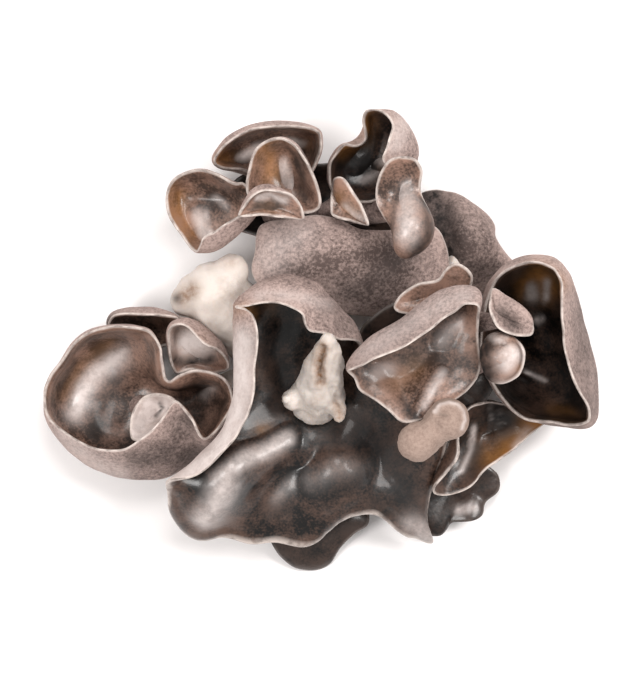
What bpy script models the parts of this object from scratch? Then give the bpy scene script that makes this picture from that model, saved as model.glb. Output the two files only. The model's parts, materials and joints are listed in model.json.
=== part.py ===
"""A clump of wood ear mushrooms (Auricularia), grown together and picked from its wood.

Each ear is a rubbery sheet, drawn as two closed rings of points: its rim, and the belly that its
wall passes through on the way up from its heart, the spot where its stalk joins it.
Points are in millimetres, with +Z out of the wood. The cut foot of the clump stands at Z = 0.
"""

import math

import bmesh
import bpy
from mathutils import Matrix, Vector
from mathutils.bvhtree import BVHTree

MM = 0.001
SHEET = 1.8            # thickness of an ear's flesh
CLEARANCE = 0.35       # gap kept between neighbouring pieces
COLUMNS = 20           # about this many columns of faces round an ear
RINGS = (0.3, 0.6, 0.83, 1.0)   # where a large ear's rings of faces lie between heart and rim
FEW_RINGS = (0.35, 0.7, 1.0)    # the same for a small ear
SMALL = 15             # an ear drawn with up to this many rim points is small
REACH = 1.04           # where a cutter's last ring lies, so that it passes its ear's rim
FADE = 10              # how much an ear's folds fade towards its heart
STALK_TOP = 1.6        # radius of a stalk where it meets its ear
BLOCK = 160            # side of the block that cuts the foot flat

BROWN = (0.09, 0.05, 0.03)
BLACK = (0.03, 0.02, 0.018)
GREY = (0.27, 0.22, 0.21)
CREAM = (0.86, 0.76, 0.62)
TAN = (0.6, 0.42, 0.31)
GLOSSY, VELVETY = 0.3, 0.9

# name: (heart, [(rim point, belly point), ...] anticlockwise seen from above)
EARS = {
    # the wide cup on the left, its front wall leaning in over its hollow
    "ear_left_cup": ((-45, -13, 0.3), [
        ((-20.8, -16, 24), (-23, -16, 9)),
        ((-20.8, -10, 24), (-24, -10, 9)),
        ((-24, -7.2, 23), (-27, -8.5, 9)),
        ((-29, -6.2, 22), (-30, -8, 9)),
        ((-33, -7.3, 21), (-33.5, -9.5, 11)),
        ((-35.6, -8.7, 19), (-36.5, -9.5, 13)),
        ((-36.8, -4.5, 20), (-38.5, -5.5, 11)),
        ((-37.5, 0, 22), (-40, -2, 9)),
        ((-40, 3, 23), (-42, 1, 8)),
        ((-45, 4, 23), (-46, 2.5, 9)),
        ((-51, 3.8, 21), (-51.5, 2, 8)),
        ((-56, 1.8, 19), (-56.5, 0, 7)),
        ((-60.5, -3, 17), (-60, -4, 7)),
        ((-64.2, -8.5, 16), (-63.3, -9, 7)),
        ((-65, -13.5, 16), (-64.5, -14, 8)),
        ((-63.8, -18, 18), (-63.5, -19.5, 8)),
        ((-59, -21.5, 21), (-60, -25, 9)),
        ((-53, -24.3, 24), (-54, -30, 10)),
        ((-46.5, -25, 26), (-47, -32.5, 11)),
        ((-42, -22.8, 27), (-41.5, -33, 11)),
        ((-37, -18, 28), (-37, -32.5, 11)),
        ((-33.5, -13.2, 29), (-33.5, -31, 11)),
        ((-31, -17.5, 28), (-30, -28, 11)),
        ((-26.8, -22.8, 26), (-26.5, -25, 11)),
    ]),
    # the young ear curled inside the left cup
    "ear_left_young": ((-39.2, -17, 13), [
        ((-33.2, -16.2, 24), (-33.8, -16.5, 18)),
        ((-34, -13, 23), (-34.8, -13.6, 17)),
        ((-37.8, -11.6, 22), (-38, -12.2, 17)),
        ((-41.8, -12.8, 20), (-41.8, -13.6, 16)),
        ((-44.4, -17.5, 20), (-43.8, -17.8, 16)),
        ((-44.2, -22.6, 22), (-43.4, -21.6, 17)),
        ((-40.4, -22.8, 23.5), (-40.2, -21.6, 17)),
        ((-36, -20, 24), (-36.6, -19.6, 18)),
    ]),
    # the small cup behind it, with pale flesh at its bottom
    "ear_left_small": ((-29.5, -1.5, 10), [
        ((-21, -6, 18), (-22.5, -4, 13)),
        ((-23, -1.5, 24), (-22.3, -0.5, 16)),
        ((-25.5, 1, 25), (-24, 3, 17)),
        ((-28.5, 3.3, 25), (-27, 5.3, 17)),
        ((-31.5, 4.8, 24), (-31, 6.5, 17)),
        ((-34.5, 4.5, 23), (-34.5, 5.5, 15)),
        ((-36, 2.5, 21), (-35.8, 3, 14)),
        ((-36, -1.5, 19), (-35.6, -1, 13)),
        ((-34.5, -7.3, 14), (-34, -5, 11.5)),
        ((-30, -6.6, 14), (-30, -4.5, 11)),
        ((-25.5, -7.4, 14), (-26, -5, 11)),
    ]),
    # the rolled lip that stands behind the left cup
    "ear_left_lip": ((-42, 1.5, 2), [
        ((-33, 5.8, 17), (-34, 6.4, 9)),
        ((-38, 6.6, 18), (-38, 8, 9)),
        ((-42, 6.8, 18), (-42, 8.8, 9)),
        ((-46, 7, 18), (-46, 8.6, 9)),
        ((-49, 6.4, 16), (-49.6, 7.2, 8)),
        ((-50, 3.5, 12), (-50.5, 3.5, 7)),
        ((-47, -0.5, 8), (-46, 0, 5)),
        ((-41, -1.5, 8), (-41, -1, 5)),
        ((-35, 0, 10), (-35, 1, 6)),
    ]),
    # the great ear in the middle: pale wall on its left, folded wall on top, wavy hem in front
    "ear_great": ((-2, -14, 17), [
        ((11, -6, 27), (8, -8, 22)),
        ((10, 0, 30), (10, 1.5, 24)),
        ((5, 1.3, 35), (8, 6, 27)),
        ((1, 2.3, 37), (4.5, 10.5, 28)),
        ((-2.5, 3, 38), (0.5, 13.5, 29)),
        ((-4, 6.5, 38), (-3, 15, 29)),
        ((-8, 8.8, 37), (-7.5, 16, 29)),
        ((-12.5, 9.5, 36), (-12, 15.5, 29)),
        ((-17, 8.5, 34), (-16.5, 13, 28)),
        ((-19.5, 8.3, 33), (-20, 9, 28)),
        ((-15.8, 7, 36), (-20.5, 5.5, 29)),
        ((-14.3, 2, 38), (-19.6, 0.5, 31)),
        ((-15, -6, 39), (-19.6, -6, 32)),
        ((-15.5, -12, 39), (-19.8, -12, 32)),
        ((-18, -18.5, 38), (-21.5, -19, 31)),
        ((-22.5, -24.8, 36), (-25, -24.5, 31)),
        ((-28, -30, 33), (-30, -27.5, 28)),
        ((-35.5, -32, 28), (-34, -31, 24)),
        ((-35, -36.3, 18), (-29, -33, 25)),
        ((-32.4, -41.6, 14), (-26, -35, 25.5)),
        ((-28.5, -44.7, 12), (-22, -36, 23)),
        ((-23, -44.6, 13), (-16, -35, 20)),
        ((-16.5, -46.6, 12), (-11, -34, 17)),
        ((-10.3, -46.2, 12), (-7, -34, 16.5)),
        ((-3.2, -47, 12), (-3, -33.5, 18.5)),
        ((0.8, -43.8, 13), (0.5, -33, 21)),
        ((4.3, -40.6, 15), (3.5, -32, 22.5)),
        ((9.5, -39, 16), (7, -31.5, 22.5)),
        ((15, -40.2, 14), (11, -31, 20)),
        ((20.5, -45, 11), (14.5, -33, 17)),
        ((26.8, -47.4, 9), (18, -34, 16)),
        ((25.3, -41, 12), (19, -30, 16)),
        ((26.8, -33, 13), (19, -24, 17)),
        ((29.8, -25, 15), (18, -18, 18)),
        ((29, -16, 18), (16, -13, 20)),
        ((20, -7, 25), (11, -10, 21)),
    ]),
    # the long ear in front on the right, its upper wall rolled over
    "ear_front_long": ((22, -4, 32), [
        ((37, -6, 36), (32, -4.5, 34)),
        ((36.5, 2, 37), (33, 1, 35)),
        ((36.5, 8, 46), (38, 12.8, 38)),
        ((33, 9, 47), (34.5, 14, 38)),
        ((30.5, 7.3, 47), (30, 13.7, 38)),
        ((27.5, 5.2, 47), (26, 12, 38)),
        ((24, 2.5, 46), (22, 8.5, 38)),
        ((19.5, -0.5, 46), (18, 5, 38)),
        ((14.5, -3, 45), (13, 2.8, 38)),
        ((10, -5, 44), (8.5, -0.5, 38)),
        ((6, -6.3, 41), (5.2, -4.8, 37)),
        ((7.5, -8, 37), (10, -6.5, 35)),
        ((9, -11, 36), (13, -8.5, 34)),
        ((13, -13.5, 37), (17, -10, 34)),
        ((16.5, -16.5, 38), (19, -12, 34)),
        ((19, -18.3, 38), (21.5, -12, 34)),
        ((23, -17.8, 38), (24, -11.5, 35)),
        ((28, -15, 37), (26.5, -9.5, 36)),
        ((34, -11, 36), (30, -7.5, 35)),
    ]),
    # the flap beside it, folded down over the right cup
    "ear_front_flap": ((41, 5, 36), [
        ((48.5, 1.5, 40), (47.5, 4, 38)),
        ((49.3, 4, 40), (48, 6.5, 40)),
        ((46, 8, 40), (45, 8.5, 41)),
        ((42.5, 11, 40), (42, 9.5, 41.5)),
        ((39.5, 12.6, 40), (40, 10, 41)),
        ((38.6, 9, 42), (39.5, 8, 40)),
        ((39.2, 5.5, 43), (40, 5.5, 39.5)),
        ((41, 3, 43), (42, 4, 39)),
        ((45, 1.3, 42), (45, 3, 38.5)),
    ]),
    # the glossy lobe below the flap
    "ear_front_lobe": ((41.6, -3, 41.6), [
        ((47.3, -3.5, 40), (45, -3.5, 40.4)),
        ((46.8, -0.5, 40), (44.6, -1.2, 40.6)),
        ((44.2, 1.9, 39.5), (42.9, 0.2, 41)),
        ((40, 2.4, 38.5), (40.4, 0.3, 41)),
        ((37.6, 0.5, 37.5), (38.8, -1, 40.6)),
        ((37.4, -4, 36.5), (38.6, -3.6, 40.4)),
        ((38.8, -8, 37), (39.7, -6, 40.4)),
        ((42, -9.2, 38), (42, -6.8, 40.6)),
        ((45.8, -7.7, 39.5), (44.2, -6, 40.4)),
    ]),
    # the tall cup on the right, its outer wall turned to the viewer
    "ear_right_cup": ((48, -3, 0.3), [
        ((56.6, -3, 40), (63.5, -3.5, 17)),
        ((56, 3, 41), (61.8, 4, 18)),
        ((55.5, 9, 41), (60, 10.5, 18)),
        ((55.6, 14, 40), (58, 15.5, 18)),
        ((54, 17.6, 37), (54.5, 19, 17)),
        ((50, 19, 35), (50, 19.3, 15)),
        ((45.5, 18.4, 33), (45.5, 17.5, 14)),
        ((41, 15.6, 31), (41.5, 13, 12)),
        ((38.5, 9, 28), (39, 8, 11)),
        ((37.5, 1, 25), (38.5, 0, 10)),
        ((38.5, -6, 22), (40, -6, 9)),
        ((42, -12.5, 20), (43, -11, 9)),
        ((47, -17.5, 19), (48, -16, 9)),
        ((53, -18.7, 21), (54, -18, 10)),
        ((58, -19.5, 27), (59, -19, 12)),
        ((62, -18.8, 33), (63.5, -17.5, 14)),
        ((62, -15, 37), (64.6, -13.5, 15)),
        ((59.3, -10, 39), (64.6, -9, 16)),
    ]),
    # the dark ear below the right cup, with the amber edge
    "ear_lower_right": ((38, -22, 8), [
        ((54, -18, 9), (47, -20, 9)),
        ((50.5, -20.8, 10), (45.5, -22, 9)),
        ((46.5, -24.5, 11), (43.5, -24, 9)),
        ((42.5, -27.2, 12), (41, -26, 9.5)),
        ((39, -29.5, 13), (38, -27.5, 10)),
        ((35.5, -34, 14), (35.5, -29, 11)),
        ((30, -35.8, 15), (32, -30, 12)),
        ((26.8, -35, 17), (31.5, -27.5, 12)),
        ((29.5, -31, 18), (31, -26, 12)),
        ((32.3, -26, 19), (32.5, -23, 13)),
        ((33, -20, 19), (34, -19.5, 13)),
        ((36, -15, 17), (37, -17, 11)),
        ((42, -14.5, 13), (41, -17, 9)),
        ((49, -16, 9.5), (45, -18, 8.5)),
    ]),
    # dark lobes that show under the hem, right and middle
    "ear_under_right": ((32, -34, 3), [
        ((43, -32.5, 4), (38, -33, 3)),
        ((41.5, -30, 5), (37.5, -31.5, 3.5)),
        ((36, -27, 6), (34.5, -30, 4)),
        ((29, -28, 7), (30, -31, 4)),
        ((24, -34, 7), (28, -34.5, 4)),
        ((22, -41, 6), (27, -37.5, 4)),
        ((25, -45.3, 5), (28, -39.5, 4)),
        ((28.5, -46, 5), (30, -40, 4)),
        ((30.6, -44, 4), (31, -39, 3.5)),
        ((32, -42.8, 5), (33, -38.5, 3.5)),
        ((36, -42.6, 6), (34.5, -38.5, 4)),
        ((38.8, -41, 5), (36, -37.5, 3.5)),
        ((39.6, -38, 4), (36.5, -36, 3)),
        ((42.6, -35.5, 4), (37.5, -34.5, 3)),
    ]),
    "ear_under_middle": ((-2, -38, 4), [
        ((10, -36, 8), (3.5, -37, 5)),
        ((4, -30, 9), (0.5, -34.5, 6)),
        ((-6, -29, 9), (-4, -34.5, 6)),
        ((-13, -34, 8), (-7.5, -36.5, 5.5)),
        ((-14, -42, 7), (-8, -40.5, 5)),
        ((-12, -47, 6), (-7, -43, 4.5)),
        ((-9.5, -51, 3), (-5.5, -45, 3.5)),
        ((-6, -53.6, 1), (-4, -46, 3.5)),
        ((-1.5, -54.3, 0.4), (-1.5, -46.5, 3.5)),
        ((2.5, -52.7, 1), (1, -45.5, 3.5)),
        ((5, -48.7, 4), (3, -43.5, 4.5)),
        ((8.5, -45.2, 6), (4.5, -41.5, 5)),
        ((12, -42.4, 8), (5.5, -39.5, 5.5)),
    ]),
    # the velvety back of an ear that lies face down in the middle
    "ear_grey": ((3, 19, 21), [
        ((30, 14, 9), (17, 16, 17)),
        ((30.5, 22, 10), (17, 20, 18)),
        ((27, 28, 12), (15, 22.5, 18)),
        ((19, 27, 15), (11, 23, 19.5)),
        ((10, 27, 18), (7, 24, 21)),
        ((4, 29.3, 19), (3, 25.5, 22)),
        ((-2, 30.2, 20), (-1, 26, 22.5)),
        ((-8, 29.3, 20), (-5, 25.5, 22.5)),
        ((-14.3, 27.8, 19), (-9.5, 24, 22.5)),
        ((-15.5, 22, 19), (-10.5, 21, 22.5)),
        ((-16.2, 16.5, 19), (-10, 17.5, 22)),
        ((-13, 12, 18), (-7, 14.5, 20.5)),
        ((-5, 9, 16), (-3, 13, 19.5)),
        ((5, 7, 13), (4, 11.5, 17.5)),
        ((14, 6, 10), (9, 11.5, 16)),
        ((23, 8, 9), (14, 13, 16)),
    ]),
    # the dark dome of an ear at the back on the right, also face down
    "ear_back": ((33.5, 24, 12.5), [
        ((46.5, 18, 2), (40, 21, 10)),
        ((45, 21.2, 2), (39.7, 23, 10.5)),
        ((42, 25, 4), (38.5, 25.5, 11)),
        ((41.7, 28.3, 4), (38, 27.5, 11)),
        ((39, 31.7, 4), (36.5, 29.5, 11)),
        ((35, 34.7, 4), (34.5, 30.5, 11)),
        ((31, 36.3, 4), (32, 31, 10)),
        ((27, 36.7, 3.5), (29.5, 30.5, 9)),
        ((23.5, 35.3, 2), (28, 29, 9)),
        ((22, 30, 2), (27.5, 27, 9)),
        ((23, 22, 2), (28, 23, 9)),
        ((26, 14, 2), (29.5, 19, 9)),
        ((33, 10, 2), (33, 17.5, 9)),
        ((41, 12, 2), (37, 18.5, 9)),
    ]),
    # the small ear that peeps out between the grey one and the long one
    "ear_small": ((28, 12, 22.5), [
        ((35.5, 14.5, 30), (33.5, 13.5, 27)),
        ((34.5, 17.2, 32), (33, 15.5, 28)),
        ((31.3, 18.9, 33), (31, 16.5, 28)),
        ((28.6, 17, 32), (28.7, 15.5, 28)),
        ((27.3, 14.8, 31), (27, 14, 27)),
        ((22.5, 13.8, 29), (23, 13, 26)),
        ((17.5, 10, 26), (20, 10.5, 24.5)),
        ((18, 7, 26), (21, 8.5, 24.5)),
        ((25, 6.5, 26), (26, 8.5, 25)),
        ((33, 9, 27), (31.5, 10.5, 26)),
    ]),
    # the four ears of the upper left: brown lobe, back lobe, arch and pocket
    "ear_top_left": ((-27, 31, 17), [
        ((-15, 34, 25), (-19, 33.5, 20)),
        ((-17.5, 37.3, 27), (-20, 36, 20)),
        ((-20, 37.5, 28), (-21.5, 36.5, 20)),
        ((-24.5, 39.8, 28), (-25, 38.3, 20)),
        ((-29, 40.8, 26), (-29, 39.3, 18)),
        ((-32.7, 39.3, 24), (-32.3, 37.5, 17)),
        ((-35.2, 36.5, 22), (-34.3, 35, 16)),
        ((-36, 33, 21), (-35, 32.5, 16)),
        ((-35.2, 29.3, 21), (-33.5, 29, 16)),
        ((-32.3, 25, 21), (-31, 25.5, 17)),
        ((-29, 21.3, 23), (-28.7, 20.8, 19)),
        ((-27.5, 24, 27), (-25.5, 20.8, 20)),
        ((-25, 25.6, 28), (-22.8, 22, 20)),
        ((-21.5, 28, 28), (-20, 24.5, 21)),
        ((-18.5, 29.6, 28), (-17, 27, 21)),
        ((-14.5, 30.6, 27), (-15, 29, 21)),
    ]),
    "ear_top_back": ((-12, 44, 10), [
        ((0.2, 44, 24), (0, 43.5, 17)),
        ((0.4, 48, 25), (0.2, 48, 18)),
        ((-1.5, 50, 27), (-1, 51, 18)),
        ((-8, 50.5, 29), (-8, 52, 19)),
        ((-15, 49.8, 29), (-15, 51.4, 19)),
        ((-20, 47.7, 27), (-20.5, 49.4, 18)),
        ((-24, 44.3, 24), (-24.5, 45.5, 16)),
        ((-24.9, 42.3, 22), (-25, 42.5, 15)),
        ((-23, 41, 21), (-22.5, 41, 14)),
        ((-17, 40, 19), (-17, 40.5, 12)),
        ((-10, 37, 18), (-10, 39, 11)),
        ((-3, 38.5, 19), (-4, 40, 12)),
    ]),
    "ear_top_arch": ((-7, 36, 22), [
        ((0.3, 32, 30), (-1, 33, 25)),
        ((-0.8, 38, 32), (-2, 37, 26)),
        ((-3.5, 43.3, 33), (-4, 42.5, 26)),
        ((-6, 46.3, 34), (-6.2, 46, 26)),
        ((-9.5, 47.5, 34), (-9.5, 47, 26)),
        ((-13.5, 46.2, 33), (-13, 45.5, 26)),
        ((-15.7, 43.5, 32), (-15, 42.5, 26)),
        ((-16.8, 39.5, 31), (-16, 39, 26)),
        ((-17.2, 36.5, 30), (-15.5, 35.5, 25)),
        ((-16, 32.5, 28.5), (-13, 32.5, 24)),
        ((-9, 30.5, 28), (-8.5, 32, 24)),
        ((-3, 30, 29), (-4.5, 32, 25)),
    ]),
    "ear_top_pocket": ((-11, 31, 30), [
        ((-3.5, 28.6, 32), (-5, 29.5, 31)),
        ((-4.2, 31.5, 34), (-5.5, 31.5, 32)),
        ((-6.3, 34, 36), (-7.5, 34.5, 33)),
        ((-9.5, 35, 37), (-10, 36.8, 34)),
        ((-13, 35.3, 37), (-13.3, 37.3, 34)),
        ((-16, 33.8, 36), (-16.6, 35.5, 33)),
        ((-18, 31.5, 34), (-18.4, 32, 32)),
        ((-19, 29.3, 32), (-18, 29, 31)),
        ((-14, 29.6, 32), (-13.5, 30, 31)),
        ((-8.5, 29, 32), (-9, 29.8, 31)),
    ]),
    # the three ears of the crown: tall fold, glossy lobe and left lobe
    "ear_crown": ((11, 42, 10), [
        ((15, 41.5, 31), (24.6, 41.5, 19)),
        ((15.8, 46.5, 32), (24, 46, 19)),
        ((17, 51, 31), (21, 51, 19)),
        ((14.5, 54, 29), (16.8, 54.5, 18)),
        ((11, 54.4, 26), (12, 54.3, 16)),
        ((9.8, 52.3, 23), (10.5, 52, 15)),
        ((10.2, 48, 21), (10, 48.5, 13)),
        ((8.3, 46.6, 21), (8.5, 46.5, 13)),
        ((5.5, 47, 21), (6, 46.3, 13)),
        ((2.5, 43.2, 20), (3.5, 43, 12)),
        ((1.8, 39.5, 18), (2.5, 39, 11)),
        ((3, 35, 17), (4, 36, 11)),
        ((9, 33, 17), (9, 34.5, 11)),
        ((15, 34, 18), (15, 35.5, 12)),
        ((21, 37, 22), (20, 37.5, 14)),
    ]),
    "ear_crown_lobe": ((19, 33, 27), [
        ((24, 40, 31), (22, 38, 28)),
        ((22.5, 43, 33), (21, 40, 28.5)),
        ((19, 43.5, 34), (18.5, 40.5, 28.5)),
        ((15.5, 42.2, 34.5), (16.5, 39, 28.5)),
        ((13, 38, 31), (15.5, 36, 28)),
        ((12.8, 33, 29), (15.5, 32.5, 28)),
        ((14.5, 29.5, 29), (16.5, 30, 29)),
        ((16.8, 27, 29), (18.5, 28, 31)),
        ((17.5, 22.5, 28), (20, 25.5, 32)),
        ((19, 20, 27), (21, 24.5, 32)),
        ((22, 20.7, 27), (22, 25, 32)),
        ((25, 23, 27), (23, 26.5, 32)),
        ((26.2, 27, 28), (23.3, 29, 31.5)),
        ((24.8, 31.5, 29), (22, 31.5, 30)),
        ((23.3, 36, 29.5), (21.3, 35, 28.5)),
    ]),
    "ear_crown_left": ((5, 33, 21.5), [
        ((11.8, 27.3, 27), (9, 29, 24)),
        ((10.3, 31.5, 28), (8, 31.8, 24)),
        ((8.3, 34.8, 28), (6.5, 34, 24)),
        ((6, 38.7, 27), (4.7, 36.3, 23.5)),
        ((3.3, 39, 25), (3.3, 37, 22.5)),
        ((2.3, 36.5, 23.5), (2.8, 35, 22)),
        ((2, 32, 23.5), (2.8, 32, 22)),
        ((2.8, 29.3, 24), (3.5, 30.3, 22)),
        ((7, 28.3, 25), (6.5, 29.3, 23)),
    ]),
    # ears deep in the clump, seen only between the others
    "ear_under_crown": ((0, 33, 6), [
        ((22, 32, 12), (12, 33, 8)),
        ((20, 40, 12), (11, 37.5, 8)),
        ((10, 43, 13), (6, 39.5, 8)),
        ((0, 42.5, 14), (0, 39, 8.5)),
        ((-10, 43, 13), (-6, 39, 8)),
        ((-20, 39, 13), (-12, 37, 8.5)),
        ((-24, 32, 12), (-14, 33, 8.5)),
        ((-17, 26, 13), (-10, 29, 8.5)),
        ((-4, 24, 14), (-2, 28, 8)),
        ((10, 23, 13), (6, 28, 8)),
        ((20, 25, 12), (12, 29, 8)),
    ]),
    "ear_under_long": ((27, -3, 9), [
        ((40, 4, 17), (34, 1, 12)),
        ((34, 12, 18), (31, 5, 12)),
        ((24, 12, 18), (25, 5, 12)),
        ((14, 8, 17), (19, 3, 12)),
        ((9, 2, 16), (17, -1, 12)),
        ((12, -7, 15), (18, -5, 11)),
        ((20, -14, 13), (23, -9, 11)),
        ((29, -18, 12), (28, -11, 10)),
        ((37, -16, 13), (33, -10, 10)),
        ((42, -8, 15), (35, -6, 11)),
    ]),
}

FACE_DOWN = ("ear_grey", "ear_back")   # these show their velvety backs
DARK = ("ear_great", "ear_under_right", "ear_under_middle", "ear_under_long", "ear_under_crown")

# The stalks of the ears that stand high above the foot: (point, radius) from the heart down
STALKS = {
    "ear_front_long": [((21.5, -4, 28), 3.6), ((17, -6, 16), 4), ((12, -7, 6), 4.5)],
    "ear_front_flap": [((36, 5, 29.5), 2.6), ((31, 5, 19), 3), ((26, 3, 8), 3.5)],
    "ear_front_lobe": [((36, -5, 28.5), 2.4), ((31, -7, 19), 3), ((25, -8, 8), 3.5)],
    "ear_small": [((29, 8.5, 15), 2.4), ((27, 5, 7), 3)],
    "ear_left_young": [((-41, -16, 9), 2.2), ((-43, -15, 2), 2.8)],
    "ear_top_left": [((-25, 31, 13), 3), ((-15, 29, 8), 3.5), ((-9, 27, 7), 4)],
    "ear_top_back": [((-11, 40, 7.5), 3), ((-9, 31, 6), 3.5)],
    "ear_top_arch": [((-8, 34, 15), 3), ((-7, 29, 7), 3.5)],
    "ear_top_pocket": [((-12, 32.5, 25), 2), ((-12, 32, 15), 2.4), ((-10, 28, 8), 3)],
    "ear_crown": [((9, 37, 7), 3), ((1, 31, 5), 3.5)],
    "ear_crown_lobe": [((17.5, 32, 20), 3), ((10, 31, 9), 3.4), ((0, 28, 6), 3.8)],
    "ear_crown_left": [((4, 32, 15), 2.4), ((-1, 29, 7), 3)],
}
# Limbs of (point, radius): the pale foot that every ear grows from, and the stumps of torn stalks
FOOT = [
    [((-1, -5, -4), 14), ((-1, -5, 3), 12.5), ((-3, -11, 9), 7.5), ((-2, -14, 14), 5.5)],
    [((-6, -8, 5), 7), ((-20, -11, 6), 5), ((-30, -13, 5), 3)],
    [((-6, -5, 6), 8), ((-14, 1, 10), 8), ((-22, 8, 14), 8.5)],
    [((-22, 8, 14), 8.5), ((-24.5, 12, 16), 7.5), ((-20.8, 17, 18), 4.2)],
    [((-25, 11, 15), 7), ((-29, 11.3, 14), 5.5), ((-31.8, 10, 13), 3.6)],
    [((-20, 5, 12), 5), ((-27, 1, 7), 4), ((-36, 5, 5), 2.5)],
    [((-4, -2, 5), 8), ((-5, 12, 7), 6.5), ((-7, 26, 6), 6), ((2, 31, 5), 5)],
    [((2, -8, 6), 8), ((14, -6, 7), 6.5), ((28, 2, 6), 5.5), ((38, 1, 5), 3.5)],
    [((28, 2, 6), 5), ((32, 13, 4.5), 4), ((33, 20, 6), 3)],
    [((14, -9, 6), 6), ((25, -19, 6), 5.5), ((36, -22, 5), 3.5)],
    [((-3, -14, 5), 8), ((-2, -30, 3.5), 4)],
    [((25, -19, 6), 5), ((29, -28, 3), 3)],
]
NUB = [
    [((-1, -13, 20.5), 6.2), ((0, -10, 27), 5.6), ((1, -5.5, 32), 4.8)],
    [((1, -5.5, 32), 4.8), ((1.7, -2, 36), 3.4), ((1.8, 0.4, 38.5), 2.2)],
    [((-3, -12.7, 22), 4.5), ((-6.3, -13, 26), 2.6), ((-7.6, -13, 28), 1.4)],
    [((2, -12, 24), 4), ((4.2, -15.3, 28), 2.2), ((4.4, -17, 30), 1.4)],
]
STUB = [
    [((23, -19, 8), 4), ((24.8, -21.5, 18), 4), ((25.4, -21, 30), 4)],
    [((25.4, -21, 30), 4), ((26.5, -19.5, 37), 5), ((29, -17.4, 41), 5.5)],
    [((25.5, -21, 32), 4.5), ((22.8, -22.8, 40), 5.4)],
    [((26, -20, 40), 5), ((24, -20, 41), 4.5)],
]


def fresh_scene():
    for old in list(bpy.data.objects):
        bpy.data.objects.remove(old)


def collection(name, hidden=False):
    made = bpy.data.collections.new(name)
    made.hide_render = hidden
    bpy.context.scene.collection.children.link(made)
    return made


def placed(name, mesh, group):
    """A new object that holds what a bmesh has drawn."""
    data = bpy.data.meshes.new(name)
    mesh.to_mesh(data)
    mesh.free()
    obj = bpy.data.objects.new(name, data)
    group.objects.link(obj)
    return obj


def redrawn(data):
    mesh = bmesh.new()
    mesh.from_mesh(data)
    return mesh


def applied(guide):
    """Replace an object by a mesh object of its evaluated shape, with a curve's caps welded on."""
    seen = guide.evaluated_get(bpy.context.evaluated_depsgraph_get())
    mesh = redrawn(bpy.data.meshes.new_from_object(seen))
    if guide.type == "CURVE":
        bmesh.ops.remove_doubles(mesh, verts=mesh.verts, dist=0.01 * MM)
    name, group = guide.name, guide.users_collection[0]
    bpy.data.objects.remove(guide)
    return placed(name, mesh, group)


def along_loop(points, place):
    """Catmull-Rom curve round a closed loop of points; place counts points."""
    count = len(points)
    i = math.floor(place)
    s = place - i
    a, b, c, d = (points[(i + k) % count] for k in (-1, 0, 1, 2))
    return 0.5 * (2 * b + (c - a) * s + (2 * a - 5 * b + 4 * c - d) * s * s
                  + (3 * b - a - 3 * c + d) * s * s * s)


def between(heart, belly, rim, t):
    """Point at t on the parabola from the heart (0) through the belly to the rim (1)."""
    low, high = (belly - heart).length, (rim - belly).length
    m = min(0.78, max(0.4, low / (low + high)))
    return (heart * ((t - m) * (t - 1) / m)
            + belly * (t * (t - 1) / (m * (m - 1)))
            + rim * (t * (t - m) / (1 - m)))


def evened(loop):
    """A closed loop of points with each moved towards its neighbours."""
    return [(loop[i - 1] + 2 * loop[i] + loop[(i + 1) % len(loop)]) / 4 for i in range(len(loop))]


def sheet(name, rings):
    """The open sheet of an ear: a fan of faces at the heart and rings of faces round it."""
    heart, pairs = EARS[name]
    heart = Vector(heart) * MM
    rims = [Vector(rim) * MM for rim, _ in pairs]
    bellies = [Vector(belly) * MM for _, belly in pairs]
    steps = max(1, round(COLUMNS / len(pairs)))
    columns = steps * len(pairs)
    mesh = bmesh.new()
    loops = []
    for t in rings:
        loop = [between(heart, along_loop(bellies, c / steps), along_loop(rims, c / steps), t)
                for c in range(columns)]
        for _ in range(round(FADE * (steps * (1 - t)) ** 2)):
            loop = evened(loop)
        loops.append([mesh.verts.new(point) for point in loop])
    middle = mesh.verts.new(heart)
    for c in range(columns):
        after = (c + 1) % columns
        mesh.faces.new((middle, loops[0][c], loops[0][after]))
        for inner, outer in zip(loops, loops[1:]):
            mesh.faces.new((inner[c], outer[c], outer[after], inner[after]))
    if name in FACE_DOWN:
        bmesh.ops.reverse_faces(mesh, faces=mesh.faces)
    return mesh


def ear(name, group, reach=1.0, room=0):
    """An ear as a closed mesh: its sheet is the velvety skin, with flesh on the glossy side.

    As a cutter it reaches past the rim and has room on both sides of the flesh.
    """
    rings = RINGS if len(EARS[name][1]) > SMALL else FEW_RINGS
    guide = placed(name, sheet(name, rings[:-1] + (reach,)), group)
    flesh = guide.modifiers.new("flesh", "SOLIDIFY")
    flesh.thickness = (SHEET + 2 * room) * MM
    flesh.offset = SHEET / (SHEET + 2 * room)
    return applied(guide)


def tube(limb, group):
    """A curve whose bevel follows the radii of its points, as a closed mesh."""
    curve = bpy.data.curves.new("limb", "CURVE")
    curve.dimensions = "3D"
    curve.bevel_depth = MM
    curve.bevel_resolution = 2
    curve.use_fill_caps = True
    line = curve.splines.new("POLY")
    line.points.add(len(limb) - 1)
    for spot, (point, radius) in zip(line.points, limb):
        spot.co = (*(Vector(point) * MM), 1)
        spot.radius = radius
    obj = bpy.data.objects.new("limb", curve)
    group.objects.link(obj)
    return applied(obj)


def stalk(name, group, room=0):
    """The stalk of an ear, from inside the flesh at its heart down to the foot."""
    top = Vector(EARS[name][0]) + Vector((0, 0, SHEET / 3))
    limb = [(top, STALK_TOP)] + STALKS[name]
    return tube([(point, radius + room) for point, radius in limb], group)


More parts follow.
